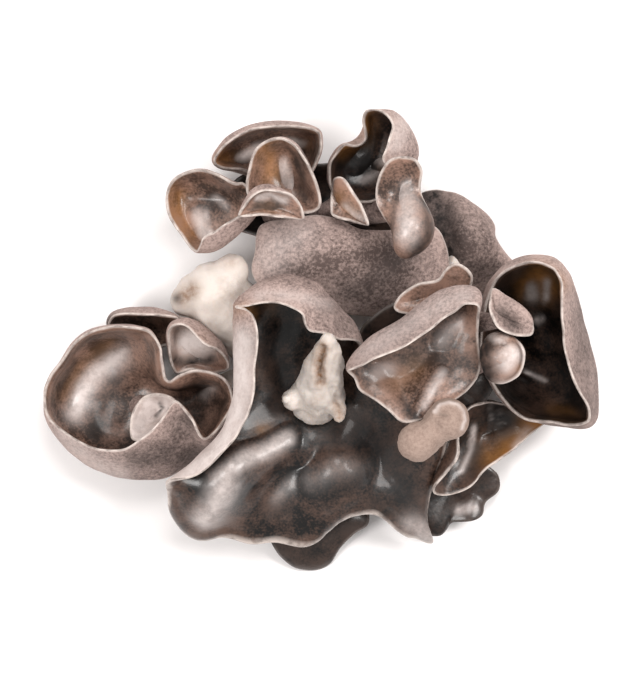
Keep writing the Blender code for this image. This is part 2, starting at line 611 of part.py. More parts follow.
def melted(name, limbs, group, grain, triangles):
    """Limbs and the balls at their joints as one body of about so many triangles."""
    mesh = bmesh.new()
    for limb in limbs:
        part = tube(limb, group)
        mesh.from_mesh(part.data)
        bpy.data.objects.remove(part)
        for point, radius in limb:
            place = Matrix.Translation(Vector(point) * MM)
            bmesh.ops.create_icosphere(mesh, subdivisions=2, radius=radius * MM, matrix=place)
    obj = placed(name, mesh, group)
    melt = obj.modifiers.new("melt", "REMESH")
    melt.mode = "VOXEL"
    melt.voxel_size = grain * MM
    soften = obj.modifiers.new("soften", "SMOOTH")
    soften.iterations = 5
    obj = applied(obj)
    thin = obj.modifiers.new("thin", "DECIMATE")
    thin.ratio = triangles / (2 * len(obj.data.polygons))
    return applied(obj)


def swollen(obj, group):
    """A copy of a body with the clearance added all round, as a cutter."""
    copy = placed(obj.name + "_room", redrawn(obj.data), group)
    swell = copy.modifiers.new("swell", "DISPLACE")
    swell.mid_level = 0
    swell.strength = CLEARANCE * MM
    return applied(copy)


def ground(group):
    """All that lies below the flat cut of the foot, as a cutter."""
    mesh = bmesh.new()
    bmesh.ops.create_cube(mesh, size=BLOCK * MM, matrix=Matrix.Translation((0, 0, -BLOCK * MM / 2)))
    return placed("ground", mesh, group)


def meet(one, other):
    trees = [BVHTree.FromBMesh(redrawn(obj.data)) for obj in (one, other)]
    return bool(trees[0].overlap(trees[1]))


def boolean(obj, operation, other):
    """Add a Boolean; the ears' tight folds touch themselves, which the exact solver doesn't take."""
    change = obj.modifiers.new(other.name, "BOOLEAN")
    change.operation = operation
    change.solver = "MANIFOLD"
    change.object = other


def bits_of(mesh):
    """The faces of a mesh, sorted into its loose bits."""
    left = set(mesh.faces)
    while left:
        bit = []
        front = [left.pop()]
        while front:
            face = front.pop()
            bit.append(face)
            near = {other for edge in face.edges for other in edge.link_faces} & left
            left -= near
            front += near
        yield bit


def give_way(obj, cutters):
    """Cut a body clear of each cutter that it meets, and keep its largest bit."""
    name = obj.name
    for cutter in cutters:
        if meet(obj, cutter):
            boolean(obj, "DIFFERENCE", cutter)
    obj = applied(obj)
    mesh = redrawn(obj.data)
    bits = sorted(bits_of(mesh), key=lambda bit: sum(face.calc_area() for face in bit))
    for bit in bits[:-1]:
        bmesh.ops.delete(mesh, geom=bit, context="FACES")
    mesh.to_mesh(obj.data)
    mesh.free()
    obj.name = name
    return obj


def paint(obj, colour, roughness):
    finish = bpy.data.materials.new(obj.name)
    finish.use_nodes = True
    shader = finish.node_tree.nodes["Principled BSDF"]
    shader.inputs["Base Color"].default_value = (*colour, 1)
    shader.inputs["Roughness"].default_value = roughness
    shader.inputs["Metallic"].default_value = 0
    obj.data.materials.append(finish)
    obj.data.shade_smooth()
    obj.data.set_sharp_from_angle(angle=math.radians(45))


def grow_ears(clump, cutters, guides):
    """Make the ears from the highest rim down, each giving way to those above it."""
    for name in sorted(EARS, key=lambda name: -max(rim[2] for rim, _ in EARS[name][1])):
        obj = ear(name, clump)
        if name in STALKS:
            root = stalk(name, guides)
            boolean(obj, "UNION", root)
            obj = applied(obj)
            bpy.data.objects.remove(root)
        obj = give_way(obj, cutters)
        down = name in FACE_DOWN
        paint(obj, GREY if down else BLACK if name in DARK else BROWN, VELVETY if down else GLOSSY)
        cutters.append(ear(name, guides, REACH, CLEARANCE))
        if name in STALKS:
            cutters.append(stalk(name, guides, CLEARANCE))


def main():
    fresh_scene()
    clump = collection("wood_ear_clump")
    guides = collection("cutters", hidden=True)
    stub = melted("stub", STUB, clump, 0.8, 340)
    paint(stub, TAN, VELVETY)
    cutters = [swollen(stub, guides), ground(guides)]
    grow_ears(clump, cutters, guides)
    foot = give_way(melted("foot", FOOT, clump, 1.2, 700), cutters)
    paint(foot, CREAM, VELVETY)
    nub = give_way(melted("nub", NUB, clump, 0.8, 320), cutters)
    paint(nub, CREAM, VELVETY)
    for guide in list(guides.objects):
        bpy.data.objects.remove(guide)
    bpy.data.collections.remove(guides)


if __name__ == "__main__":
    main()
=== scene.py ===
"""A clump of wood ear mushrooms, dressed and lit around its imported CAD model.

Each ear is grown again as a fine sheet of flesh from the rims and bellies that the CAD's have.
The tables are in millimetres, with +Z out of the wood and the cut foot of the clump at Z = 0.
"""

import json
import math

import bmesh
import bpy
import numpy as np
from bpy.props import FloatProperty, FloatVectorProperty, PointerProperty
from mathutils import Matrix, Vector, noise
from mathutils.bvhtree import BVHTree

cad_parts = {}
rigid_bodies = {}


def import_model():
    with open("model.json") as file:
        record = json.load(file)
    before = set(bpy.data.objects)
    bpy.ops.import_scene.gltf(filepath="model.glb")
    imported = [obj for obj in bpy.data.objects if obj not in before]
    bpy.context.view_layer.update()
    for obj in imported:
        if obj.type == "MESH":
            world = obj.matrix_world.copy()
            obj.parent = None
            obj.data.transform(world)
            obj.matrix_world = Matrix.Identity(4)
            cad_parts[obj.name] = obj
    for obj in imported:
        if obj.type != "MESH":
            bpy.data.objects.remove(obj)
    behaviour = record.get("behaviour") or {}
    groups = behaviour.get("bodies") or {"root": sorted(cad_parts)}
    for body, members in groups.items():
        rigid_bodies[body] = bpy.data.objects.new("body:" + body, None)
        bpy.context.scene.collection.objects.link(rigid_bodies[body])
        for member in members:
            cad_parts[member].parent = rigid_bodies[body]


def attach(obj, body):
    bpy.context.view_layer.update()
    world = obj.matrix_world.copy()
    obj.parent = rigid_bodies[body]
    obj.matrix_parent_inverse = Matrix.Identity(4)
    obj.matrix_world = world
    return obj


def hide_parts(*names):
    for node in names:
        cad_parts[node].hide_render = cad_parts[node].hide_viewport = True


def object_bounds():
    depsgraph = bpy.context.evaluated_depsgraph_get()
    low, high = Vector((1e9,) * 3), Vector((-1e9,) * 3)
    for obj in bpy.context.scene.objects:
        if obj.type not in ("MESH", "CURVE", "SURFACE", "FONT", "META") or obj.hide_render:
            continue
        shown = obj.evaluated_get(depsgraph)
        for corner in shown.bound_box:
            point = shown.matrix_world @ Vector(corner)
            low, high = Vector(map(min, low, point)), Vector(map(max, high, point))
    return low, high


bl_info = {
    "name": "Wood Ear Clump",
    "version": (1, 0, 0),
    "blender": (4, 5, 0),
    "location": "3D View > Sidebar > Wood Ear",
    "description": "Grows a clump of wood ear mushrooms over its CAD model and sets up a studio",
    "category": "Object",
}

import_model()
CAD_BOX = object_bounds()

MM = 0.001
CORE = 0.45               # share of the way to the rim over which an ear is evened out to its heart
FADE = 2.5                # how much an ear's folds fade towards its heart
BELLY_AT = (0.4, 0.78)    # least and most share of the way to the rim at which an ear's belly lies
FEWEST_RINGS = 6
SMALL_HEIGHT = 0.45       # height of an ear's small ripples, as a share of its large ones'
SMALL_LENGTH = 0.4        # and the distance from one to the next
CALM = 0.35               # height of the ripples at the heart, as a share of that at the rim
PLEAT_RUN = 9             # how far a pleat runs before it has changed into another
STALK_TOP = 1.6           # radius of a stalk where it meets its ear
THINNEST = 0.5            # least radius of a limb
REACH = 1.04              # where a cutter's last ring lies, so that it passes its ear's rim
INSET = 0.3               # how much smaller a cutter is than its ear on each side
CUTTER_GRAIN = 1.6        # size of a cutter's faces
FOOT_GRAIN = 0.7          # size of the foot's faces
STUMP_GRAIN = 0.4         # size of the nub's and the stub's faces
WELD = 0.01               # points of a limb closer than this are one
FAR_FROM_RIM = 20         # distance to the rim given to a stalk, which has none
LIMB_TO_RIM = 5           # the same for the foot, the nub and the stub
CREASE = 55               # a piece's edges of more degrees than this stay sharp
BLOCK = 160               # side of the block that cuts the foot flat
FLOOR = 1.5               # half the floor's side, in metres
AIM = Vector((0, -0.5, 20))    # the point that the camera and the lights face

# Soft boxes: name, azimuth, elevation, distance, width, share of the main one's power
SOFT_BOXES = (
    ("soft_box_right", 105, 52, 0.7, 0.26, 1.0),
    ("soft_box_left", -70, 55, 0.7, 0.26, 0.8),
    ("soft_box_back", 175, 66, 0.7, 0.26, 0.6),
)

FACE_DOWN = ("ear_grey", "ear_back")    # these show their velvety backs
# What each kind of ear is: (material slot, hollow side, back, hem)
KINDS = {
    "brown": ("ear_flesh", "brown_jelly_flesh", "velvety_skin", "cut_hem"),
    "dark": ("ear_flesh", "dark_jelly_flesh", "velvety_skin", "cut_hem"),
    "wet": ("ear_flesh", "dark_jelly_flesh", "dark_jelly_flesh", "cut_hem"),
    "flap": ("ear_flesh", "velvety_skin", "velvety_skin", "cut_hem"),
    "great": ("ear_dark", "frilled_jelly_flesh", "velvety_skin", "cut_hem"),
    # black on both sides and at the hem: painted shade for ears seen only in the gaps
    "black": ("ear_dark", "black_jelly_flesh", "black_jelly_flesh", "black_jelly_flesh"),
    "nap": ("ear_velvet", "brown_jelly_flesh", "thick_velvety_skin", "cut_hem"),
}

# Ears: the heart, then (rim point, belly point) as six numbers, anticlockwise from above
EARS = {
    # the wide cup on the left, its front wall leaning in over its hollow
    "ear_left_cup": (
        (-45, -13, 0.3),
        (-20.8, -16, 24, -23, -16, 9), (-20.8, -10, 24, -24, -10, 9),
        (-24, -7.2, 23, -27, -8.5, 9), (-29, -6.2, 22, -30, -8, 9),
        (-33, -7.3, 21, -33.5, -9.5, 11), (-35.6, -8.7, 19, -36.5, -9.5, 13),
        (-36.8, -4.5, 20, -38.5, -5.5, 11), (-37.5, 0, 22, -40, -2, 9), (-40, 3, 23, -42, 1, 8),
        (-45, 4, 23, -46, 2.5, 9), (-51, 3.8, 21, -51.5, 2, 8), (-56, 1.8, 19, -56.5, 0, 7),
        (-60.5, -3, 17, -60, -4, 7), (-64.2, -8.5, 16, -63.3, -9, 7),
        (-65, -13.5, 16, -64.5, -14, 8), (-63.8, -18, 18, -63.5, -19.5, 8),
        (-59, -21.5, 21, -60, -25, 9), (-53, -24.3, 24, -54, -30, 10),
        (-46.5, -25, 26, -47, -32.5, 11), (-42, -22.8, 27, -41.5, -33, 11),
        (-37, -18, 28, -37, -32.5, 11), (-33.5, -13.2, 29, -33.5, -31, 11),
        (-31, -17.5, 28, -30, -28, 11), (-26.8, -22.8, 26, -26.5, -25, 11),
    ),
    # the young ear curled inside the left cup
    "ear_left_young": (
        (-39.2, -17, 13),
        (-33.2, -16.2, 24, -33.8, -16.5, 18), (-34, -13, 23, -34.8, -13.6, 17),
        (-37.8, -11.6, 22, -38, -12.2, 17), (-41.8, -12.8, 20, -41.8, -13.6, 16),
        (-44.4, -17.5, 20, -43.8, -17.8, 16), (-44.2, -22.6, 22, -43.4, -21.6, 17),
        (-40.4, -22.8, 23.5, -40.2, -21.6, 17), (-36, -20, 24, -36.6, -19.6, 18),
    ),
    # the small cup behind it, with pale flesh at its bottom
    "ear_left_small": (
        (-29.5, -1.5, 10),
        (-21, -6, 18, -22.5, -4, 13), (-23, -1.5, 24, -22.3, -0.5, 16), (-25.5, 1, 25, -24, 3, 17),
        (-28.5, 3.3, 25, -27, 5.3, 17), (-31.5, 4.8, 24, -31, 6.5, 17),
        (-34.5, 4.5, 23, -34.5, 5.5, 15), (-36, 2.5, 21, -35.8, 3, 14),
        (-36, -1.5, 19, -35.6, -1, 13), (-34.5, -7.3, 14, -34, -5, 11.5),
        (-30, -6.6, 14, -30, -4.5, 11), (-25.5, -7.4, 14, -26, -5, 11),
    ),
    # the rolled lip that stands behind the left cup
    "ear_left_lip": (
        (-42, 1.5, 2),
        (-33, 5.8, 17, -34, 6.4, 9), (-38, 6.6, 18, -38, 8, 9), (-42, 6.8, 18, -42, 8.8, 9),
        (-46, 7, 18, -46, 8.6, 9), (-49, 6.4, 16, -49.6, 7.2, 8), (-50, 3.5, 12, -50.5, 3.5, 7),
        (-47, -0.5, 8, -46, 0, 5), (-41, -1.5, 8, -41, -1, 5), (-35, 0, 10, -35, 1, 6),
    ),
    # the great ear in the middle: pale wall on its left, folded wall on top, wavy hem in front
    "ear_great": (
        (-2, -14, 17),
        (11, -6, 27, 8, -8, 22), (10, 0, 30, 10, 1.5, 24), (5, 1.3, 35, 8, 6, 27),
        (1, 2.3, 37, 4.5, 10.5, 28), (-2.5, 3, 38, 0.5, 13.5, 29), (-4, 6.5, 38, -3, 15, 29),
        (-8, 8.8, 37, -7.5, 16, 29), (-12.5, 9.5, 36, -12, 15.5, 29),
        (-17, 8.5, 34, -16.5, 13, 28), (-19.5, 8.3, 33, -20, 9, 28),
        (-15.8, 7, 36, -20.5, 5.5, 29), (-14.3, 2, 38, -19.6, 0.5, 31),
        (-15, -6, 39, -19.6, -6, 32), (-15.5, -12, 39, -19.8, -12, 32),
        (-18, -18.5, 38, -21.5, -19, 31), (-22.5, -24.8, 36, -25, -24.5, 31),
        (-28, -30, 33, -30, -27.5, 28), (-35.5, -32, 28, -34, -31, 24),
        (-35, -36.3, 18, -29, -33, 25), (-32.4, -41.6, 14, -26, -35, 25.5),
        (-28.5, -44.7, 12, -22, -36, 23), (-23, -44.6, 13, -16, -35, 20),
        (-16.5, -46.6, 12, -11, -34, 17), (-10.3, -46.2, 12, -7, -34, 16.5),
        (-3.2, -47, 12, -3, -33.5, 18.5), (0.8, -43.8, 13, 0.5, -33, 21),
        (4.3, -40.6, 15, 3.5, -32, 22.5), (9.5, -39, 16, 7, -31.5, 22.5),
        (15, -40.2, 14, 11, -31, 20), (20.5, -45, 11, 14.5, -33, 17),
        (26.8, -47.4, 9, 18, -34, 16), (25.3, -41, 12, 19, -30, 16), (26.8, -33, 13, 19, -24, 17),
        (29.8, -25, 15, 18, -18, 18), (29, -16, 18, 16, -13, 20), (20, -7, 25, 11, -10, 21),
    ),
    # the long ear in front on the right, its upper wall rolled over
    "ear_front_long": (
        (22, -4, 32),
        (37, -6, 36, 32, -4.5, 34), (36.5, 2, 37, 33, 1, 35), (36.5, 8, 46, 38, 12.8, 38),
        (33, 9, 47, 34.5, 14, 38), (30.5, 7.3, 47, 30, 13.7, 38), (27.5, 5.2, 47, 26, 12, 38),
        (24, 2.5, 46, 22, 8.5, 38), (19.5, -0.5, 46, 18, 5, 38), (14.5, -3, 45, 13, 2.8, 38),
        (10, -5, 44, 8.5, -0.5, 38), (6, -6.3, 41, 5.2, -4.8, 37), (7.5, -8, 37, 10, -6.5, 35),
        (9, -11, 36, 13, -8.5, 34), (13, -13.5, 37, 17, -10, 34), (16.5, -16.5, 38, 19, -12, 34),
        (19, -18.3, 38, 21.5, -12, 34), (23, -17.8, 38, 24, -11.5, 35),
        (28, -15, 37, 26.5, -9.5, 36), (34, -11, 36, 30, -7.5, 35),
    ),
    # the flap beside it, folded down over the right cup
    "ear_front_flap": (
        (41, 5, 36),
        (48.5, 1.5, 40, 47.5, 4, 38), (49.3, 4, 40, 48, 6.5, 40), (46, 8, 40, 45, 8.5, 41),
        (42.5, 11, 40, 42, 9.5, 41.5), (39.5, 12.6, 40, 40, 10, 41), (38.6, 9, 42, 39.5, 8, 40),
        (39.2, 5.5, 43, 40, 5.5, 39.5), (41, 3, 43, 42, 4, 39), (45, 1.3, 42, 45, 3, 38.5),
    ),
    # the glossy lobe below the flap
    "ear_front_lobe": (
        (41.6, -3, 41.6),
        (47.3, -3.5, 40, 45, -3.5, 40.4), (46.8, -0.5, 40, 44.6, -1.2, 40.6),
        (44.2, 1.9, 39.5, 42.9, 0.2, 41), (40, 2.4, 38.5, 40.4, 0.3, 41),
        (37.6, 0.5, 37.5, 38.8, -1, 40.6), (37.4, -4, 36.5, 38.6, -3.6, 40.4),
        (38.8, -8, 37, 39.7, -6, 40.4), (42, -9.2, 38, 42, -6.8, 40.6),
        (45.8, -7.7, 39.5, 44.2, -6, 40.4),
    ),
    # the tall cup on the right, its outer wall turned to the viewer
    "ear_right_cup": (
        (48, -3, 0.3),
        (56.6, -3, 40, 63.5, -3.5, 17), (56, 3, 41, 61.8, 4, 18), (55.5, 9, 41, 60, 10.5, 18),
        (55.6, 14, 40, 58, 15.5, 18), (54, 17.6, 37, 54.5, 19, 17), (50, 19, 35, 50, 19.3, 15),
        (45.5, 18.4, 33, 45.5, 17.5, 14), (41, 15.6, 31, 41.5, 13, 12), (38.5, 9, 28, 39, 8, 11),
        (37.5, 1, 25, 38.5, 0, 10), (38.5, -6, 22, 40, -6, 9), (42, -12.5, 20, 43, -11, 9),
        (47, -17.5, 19, 48, -16, 9), (53, -18.7, 21, 54, -18, 10), (58, -19.5, 27, 59, -19, 12),
        (62, -18.8, 33, 63.5, -17.5, 14), (62, -15, 37, 64.6, -13.5, 15),
        (59.3, -10, 39, 64.6, -9, 16),
    ),
    # the dark ear below the right cup, with the amber edge
    "ear_lower_right": (
        (38, -22, 8),
        (54, -18, 9, 47, -20, 9), (50.5, -20.8, 10, 45.5, -22, 9), (46.5, -24.5, 11, 43.5, -24, 9),
        (42.5, -27.2, 12, 41, -26, 9.5), (39, -29.5, 13, 38, -27.5, 10),
        (35.5, -34, 14, 35.5, -29, 11), (30, -35.8, 15, 32, -30, 12),
        (26.8, -35, 17, 31.5, -27.5, 12), (29.5, -31, 18, 31, -26, 12),
        (32.3, -26, 19, 32.5, -23, 13), (33, -20, 19, 34, -19.5, 13), (36, -15, 17, 37, -17, 11),
        (42, -14.5, 13, 41, -17, 9), (49, -16, 9.5, 45, -18, 8.5),
    ),
    # dark lobes that show under the hem, right and middle, black all over as painted shade
    "ear_under_right": (
        (32, -34, 3),
        (43, -32.5, 4, 38, -33, 3), (41.5, -30, 5, 37.5, -31.5, 3.5), (36, -27, 6, 34.5, -30, 4),
        (29, -28, 7, 30, -31, 4), (24, -34, 7, 28, -34.5, 4), (22, -41, 6, 27, -37.5, 4),
        (25, -45.3, 5, 28, -39.5, 4), (28.5, -46, 5, 30, -40, 4), (30.6, -44, 4, 31, -39, 3.5),
        (32, -42.8, 5, 33, -38.5, 3.5), (36, -42.6, 6, 34.5, -38.5, 4),
        (38.8, -41, 5, 36, -37.5, 3.5), (39.6, -38, 4, 36.5, -36, 3),
        (42.6, -35.5, 4, 37.5, -34.5, 3),
    ),
    "ear_under_middle": (
        (-2, -38, 4),
        (10, -36, 8, 3.5, -37, 5), (4, -30, 9, 0.5, -34.5, 6), (-6, -29, 9, -4, -34.5, 6),
        (-13, -34, 8, -7.5, -36.5, 5.5), (-14, -42, 7, -8, -40.5, 5), (-12, -47, 6, -7, -43, 4.5),
        (-9.5, -51, 3, -5.5, -45, 3.5), (-6, -53.6, 1, -4, -46, 3.5),
        (-1.5, -54.3, 0.4, -1.5, -46.5, 3.5), (2.5, -52.7, 1, 1, -45.5, 3.5),
        (5, -48.7, 4, 3, -43.5, 4.5), (8.5, -45.2, 6, 4.5, -41.5, 5),
        (12, -42.4, 8, 5.5, -39.5, 5.5),
    ),
    # the velvety back of an ear that lies face down in the middle
    "ear_grey": (
        (3, 19, 21),
        (30, 14, 9, 17, 16, 17), (30.5, 22, 10, 17, 20, 18), (27, 28, 12, 15, 22.5, 18),
        (19, 27, 15, 11, 23, 19.5), (10, 27, 18, 7, 24, 21), (4, 29.3, 19, 3, 25.5, 22),
        (-2, 30.2, 20, -1, 26, 22.5), (-8, 29.3, 20, -5, 25.5, 22.5),
        (-14.3, 27.8, 19, -9.5, 24, 22.5), (-15.5, 22, 19, -10.5, 21, 22.5),
        (-16.2, 16.5, 19, -10, 17.5, 22), (-13, 12, 18, -7, 14.5, 20.5), (-5, 9, 16, -3, 13, 19.5),
        (5, 7, 13, 4, 11.5, 17.5), (14, 6, 10, 9, 11.5, 16), (23, 8, 9, 14, 13, 16),
    ),
    # the dark dome of an ear at the back on the right, also face down
    "ear_back": (
        (33.5, 24, 12.5),
        (46.5, 18, 2, 40, 21, 10), (45, 21.2, 2, 39.7, 23, 10.5), (42, 25, 4, 38.5, 25.5, 11),
        (41.7, 28.3, 4, 38, 27.5, 11), (39, 31.7, 4, 36.5, 29.5, 11),
        (35, 34.7, 4, 34.5, 30.5, 11), (31, 36.3, 4, 32, 31, 10), (27, 36.7, 3.5, 29.5, 30.5, 9),
        (23.5, 35.3, 2, 28, 29, 9), (22, 30, 2, 27.5, 27, 9), (23, 22, 2, 28, 23, 9),
        (26, 14, 2, 29.5, 19, 9), (33, 10, 2, 33, 17.5, 9), (41, 12, 2, 37, 18.5, 9),
    ),
    # the small ear that peeps out between the grey one and the long one
    "ear_small": (
        (28, 12, 22.5),
        (35.5, 14.5, 30, 33.5, 13.5, 27), (34.5, 17.2, 32, 33, 15.5, 28),
        (31.3, 18.9, 33, 31, 16.5, 28), (28.6, 17, 32, 28.7, 15.5, 28),
        (27.3, 14.8, 31, 27, 14, 27), (22.5, 13.8, 29, 23, 13, 26), (17.5, 10, 26, 20, 10.5, 24.5),
        (18, 7, 26, 21, 8.5, 24.5), (25, 6.5, 26, 26, 8.5, 25), (33, 9, 27, 31.5, 10.5, 26),
    ),
    # the four ears of the upper left: brown lobe, back lobe, arch and pocket
    "ear_top_left": (
        (-27, 31, 17),
        (-15, 34, 25, -19, 33.5, 20), (-17.5, 37.3, 27, -20, 36, 20),
        (-20, 37.5, 28, -21.5, 36.5, 20), (-24.5, 39.8, 28, -25, 38.3, 20),
        (-29, 40.8, 26, -29, 39.3, 18), (-32.7, 39.3, 24, -32.3, 37.5, 17),
        (-35.2, 36.5, 22, -34.3, 35, 16), (-36, 33, 21, -35, 32.5, 16),
        (-35.2, 29.3, 21, -33.5, 29, 16), (-32.3, 25, 21, -31, 25.5, 17),
        (-29, 21.3, 23, -28.7, 20.8, 19), (-27.5, 24, 27, -25.5, 20.8, 20),
        (-25, 25.6, 28, -22.8, 22, 20), (-21.5, 28, 28, -20, 24.5, 21),
        (-18.5, 29.6, 28, -17, 27, 21), (-14.5, 30.6, 27, -15, 29, 21),
    ),
    "ear_top_back": (
        (-12, 44, 10),
        (0.2, 44, 24, 0, 43.5, 17), (0.4, 48, 25, 0.2, 48, 18), (-1.5, 50, 27, -1, 51, 18),
        (-8, 50.5, 29, -8, 52, 19), (-15, 49.8, 29, -15, 51.4, 19),
        (-20, 47.7, 27, -20.5, 49.4, 18), (-24, 44.3, 24, -24.5, 45.5, 16),
        (-24.9, 42.3, 22, -25, 42.5, 15), (-23, 41, 21, -22.5, 41, 14),
        (-17, 40, 19, -17, 40.5, 12), (-10, 37, 18, -10, 39, 11), (-3, 38.5, 19, -4, 40, 12),
    ),
    "ear_top_arch": (
        (-7, 36, 22),
        (0.3, 32, 30, -1, 33, 25), (-0.8, 38, 32, -2, 37, 26), (-3.5, 43.3, 33, -4, 42.5, 26),
        (-6, 46.3, 34, -6.2, 46, 26), (-9.5, 47.5, 34, -9.5, 47, 26),
        (-13.5, 46.2, 33, -13, 45.5, 26), (-15.7, 43.5, 32, -15, 42.5, 26),
        (-16.8, 39.5, 31, -16, 39, 26), (-17.2, 36.5, 30, -15.5, 35.5, 25),
        (-16, 32.5, 28.5, -13, 32.5, 24), (-9, 30.5, 28, -8.5, 32, 24), (-3, 30, 29, -4.5, 32, 25),
    ),
    "ear_top_pocket": (
        (-11, 31, 30),
        (-3.5, 28.6, 32, -5, 29.5, 31), (-4.2, 31.5, 34, -5.5, 31.5, 32),
        (-6.3, 34, 36, -7.5, 34.5, 33), (-9.5, 35, 37, -10, 36.8, 34),
        (-13, 35.3, 37, -13.3, 37.3, 34), (-16, 33.8, 36, -16.6, 35.5, 33),
        (-18, 31.5, 34, -18.4, 32, 32), (-19, 29.3, 32, -18, 29, 31),
        (-14, 29.6, 32, -13.5, 30, 31), (-8.5, 29, 32, -9, 29.8, 31),
    ),
    # the three ears of the crown: tall fold, glossy lobe and left lobe
    "ear_crown": (
        (11, 42, 10),
        (15, 41.5, 31, 24.6, 41.5, 19), (15.8, 46.5, 32, 24, 46, 19), (17, 51, 31, 21, 51, 19),
        (14.5, 54, 29, 16.8, 54.5, 18), (11, 54.4, 26, 12, 54.3, 16),
        (9.8, 52.3, 23, 10.5, 52, 15), (10.2, 48, 21, 10, 48.5, 13),
        (8.3, 46.6, 21, 8.5, 46.5, 13), (5.5, 47, 21, 6, 46.3, 13), (2.5, 43.2, 20, 3.5, 43, 12),
        (1.8, 39.5, 18, 2.5, 39, 11), (3, 35, 17, 4, 36, 11), (9, 33, 17, 9, 34.5, 11),
        (15, 34, 18, 15, 35.5, 12), (21, 37, 22, 20, 37.5, 14),
    ),
    "ear_crown_lobe": (
        (19, 33, 27),
        (24, 40, 31, 22, 38, 28), (22.5, 43, 33, 21, 40, 28.5), (19, 43.5, 34, 18.5, 40.5, 28.5),
        (15.5, 42.2, 34.5, 16.5, 39, 28.5), (13, 38, 31, 15.5, 36, 28),
        (12.8, 33, 29, 15.5, 32.5, 28), (14.5, 29.5, 29, 16.5, 30, 29),
        (16.8, 27, 29, 18.5, 28, 31), (17.5, 22.5, 28, 20, 25.5, 32), (19, 20, 27, 21, 24.5, 32),
        (22, 20.7, 27, 22, 25, 32), (25, 23, 27, 23, 26.5, 32), (26.2, 27, 28, 23.3, 29, 31.5),
        (24.8, 31.5, 29, 22, 31.5, 30), (23.3, 36, 29.5, 21.3, 35, 28.5),
    ),
    "ear_crown_left": (
        (5, 33, 21.5),
        (11.8, 27.3, 27, 9, 29, 24), (10.3, 31.5, 28, 8, 31.8, 24), (8.3, 34.8, 28, 6.5, 34, 24),
        (6, 38.7, 27, 4.7, 36.3, 23.5), (3.3, 39, 25, 3.3, 37, 22.5),
        (2.3, 36.5, 23.5, 2.8, 35, 22), (2, 32, 23.5, 2.8, 32, 22), (2.8, 29.3, 24, 3.5, 30.3, 22),
        (7, 28.3, 25, 6.5, 29.3, 23),
    ),
    # ears deep in the clump, seen only between the others; black all over, they are painted shade
    # in the gaps
    "ear_under_crown": (
        (0, 33, 6),
        (22, 32, 12, 12, 33, 8), (20, 40, 12, 11, 37.5, 8), (10, 43, 13, 6, 39.5, 8),
        (0, 42.5, 14, 0, 39, 8.5), (-10, 43, 13, -6, 39, 8), (-20, 39, 13, -12, 37, 8.5),
        (-24, 32, 12, -14, 33, 8.5), (-17, 26, 13, -10, 29, 8.5), (-4, 24, 14, -2, 28, 8),
        (10, 23, 13, 6, 28, 8), (20, 25, 12, 12, 29, 8),
    ),
    "ear_under_long": (
        (27, -3, 9),
        (40, 4, 17, 34, 1, 12), (34, 12, 18, 31, 5, 12), (24, 12, 18, 25, 5, 12),
        (14, 8, 17, 19, 3, 12), (9, 2, 16, 17, -1, 12), (12, -7, 15, 18, -5, 11),
        (20, -14, 13, 23, -9, 11), (29, -18, 12, 28, -11, 10), (37, -16, 13, 33, -10, 10),
        (42, -8, 15, 35, -6, 11),
    ),
}
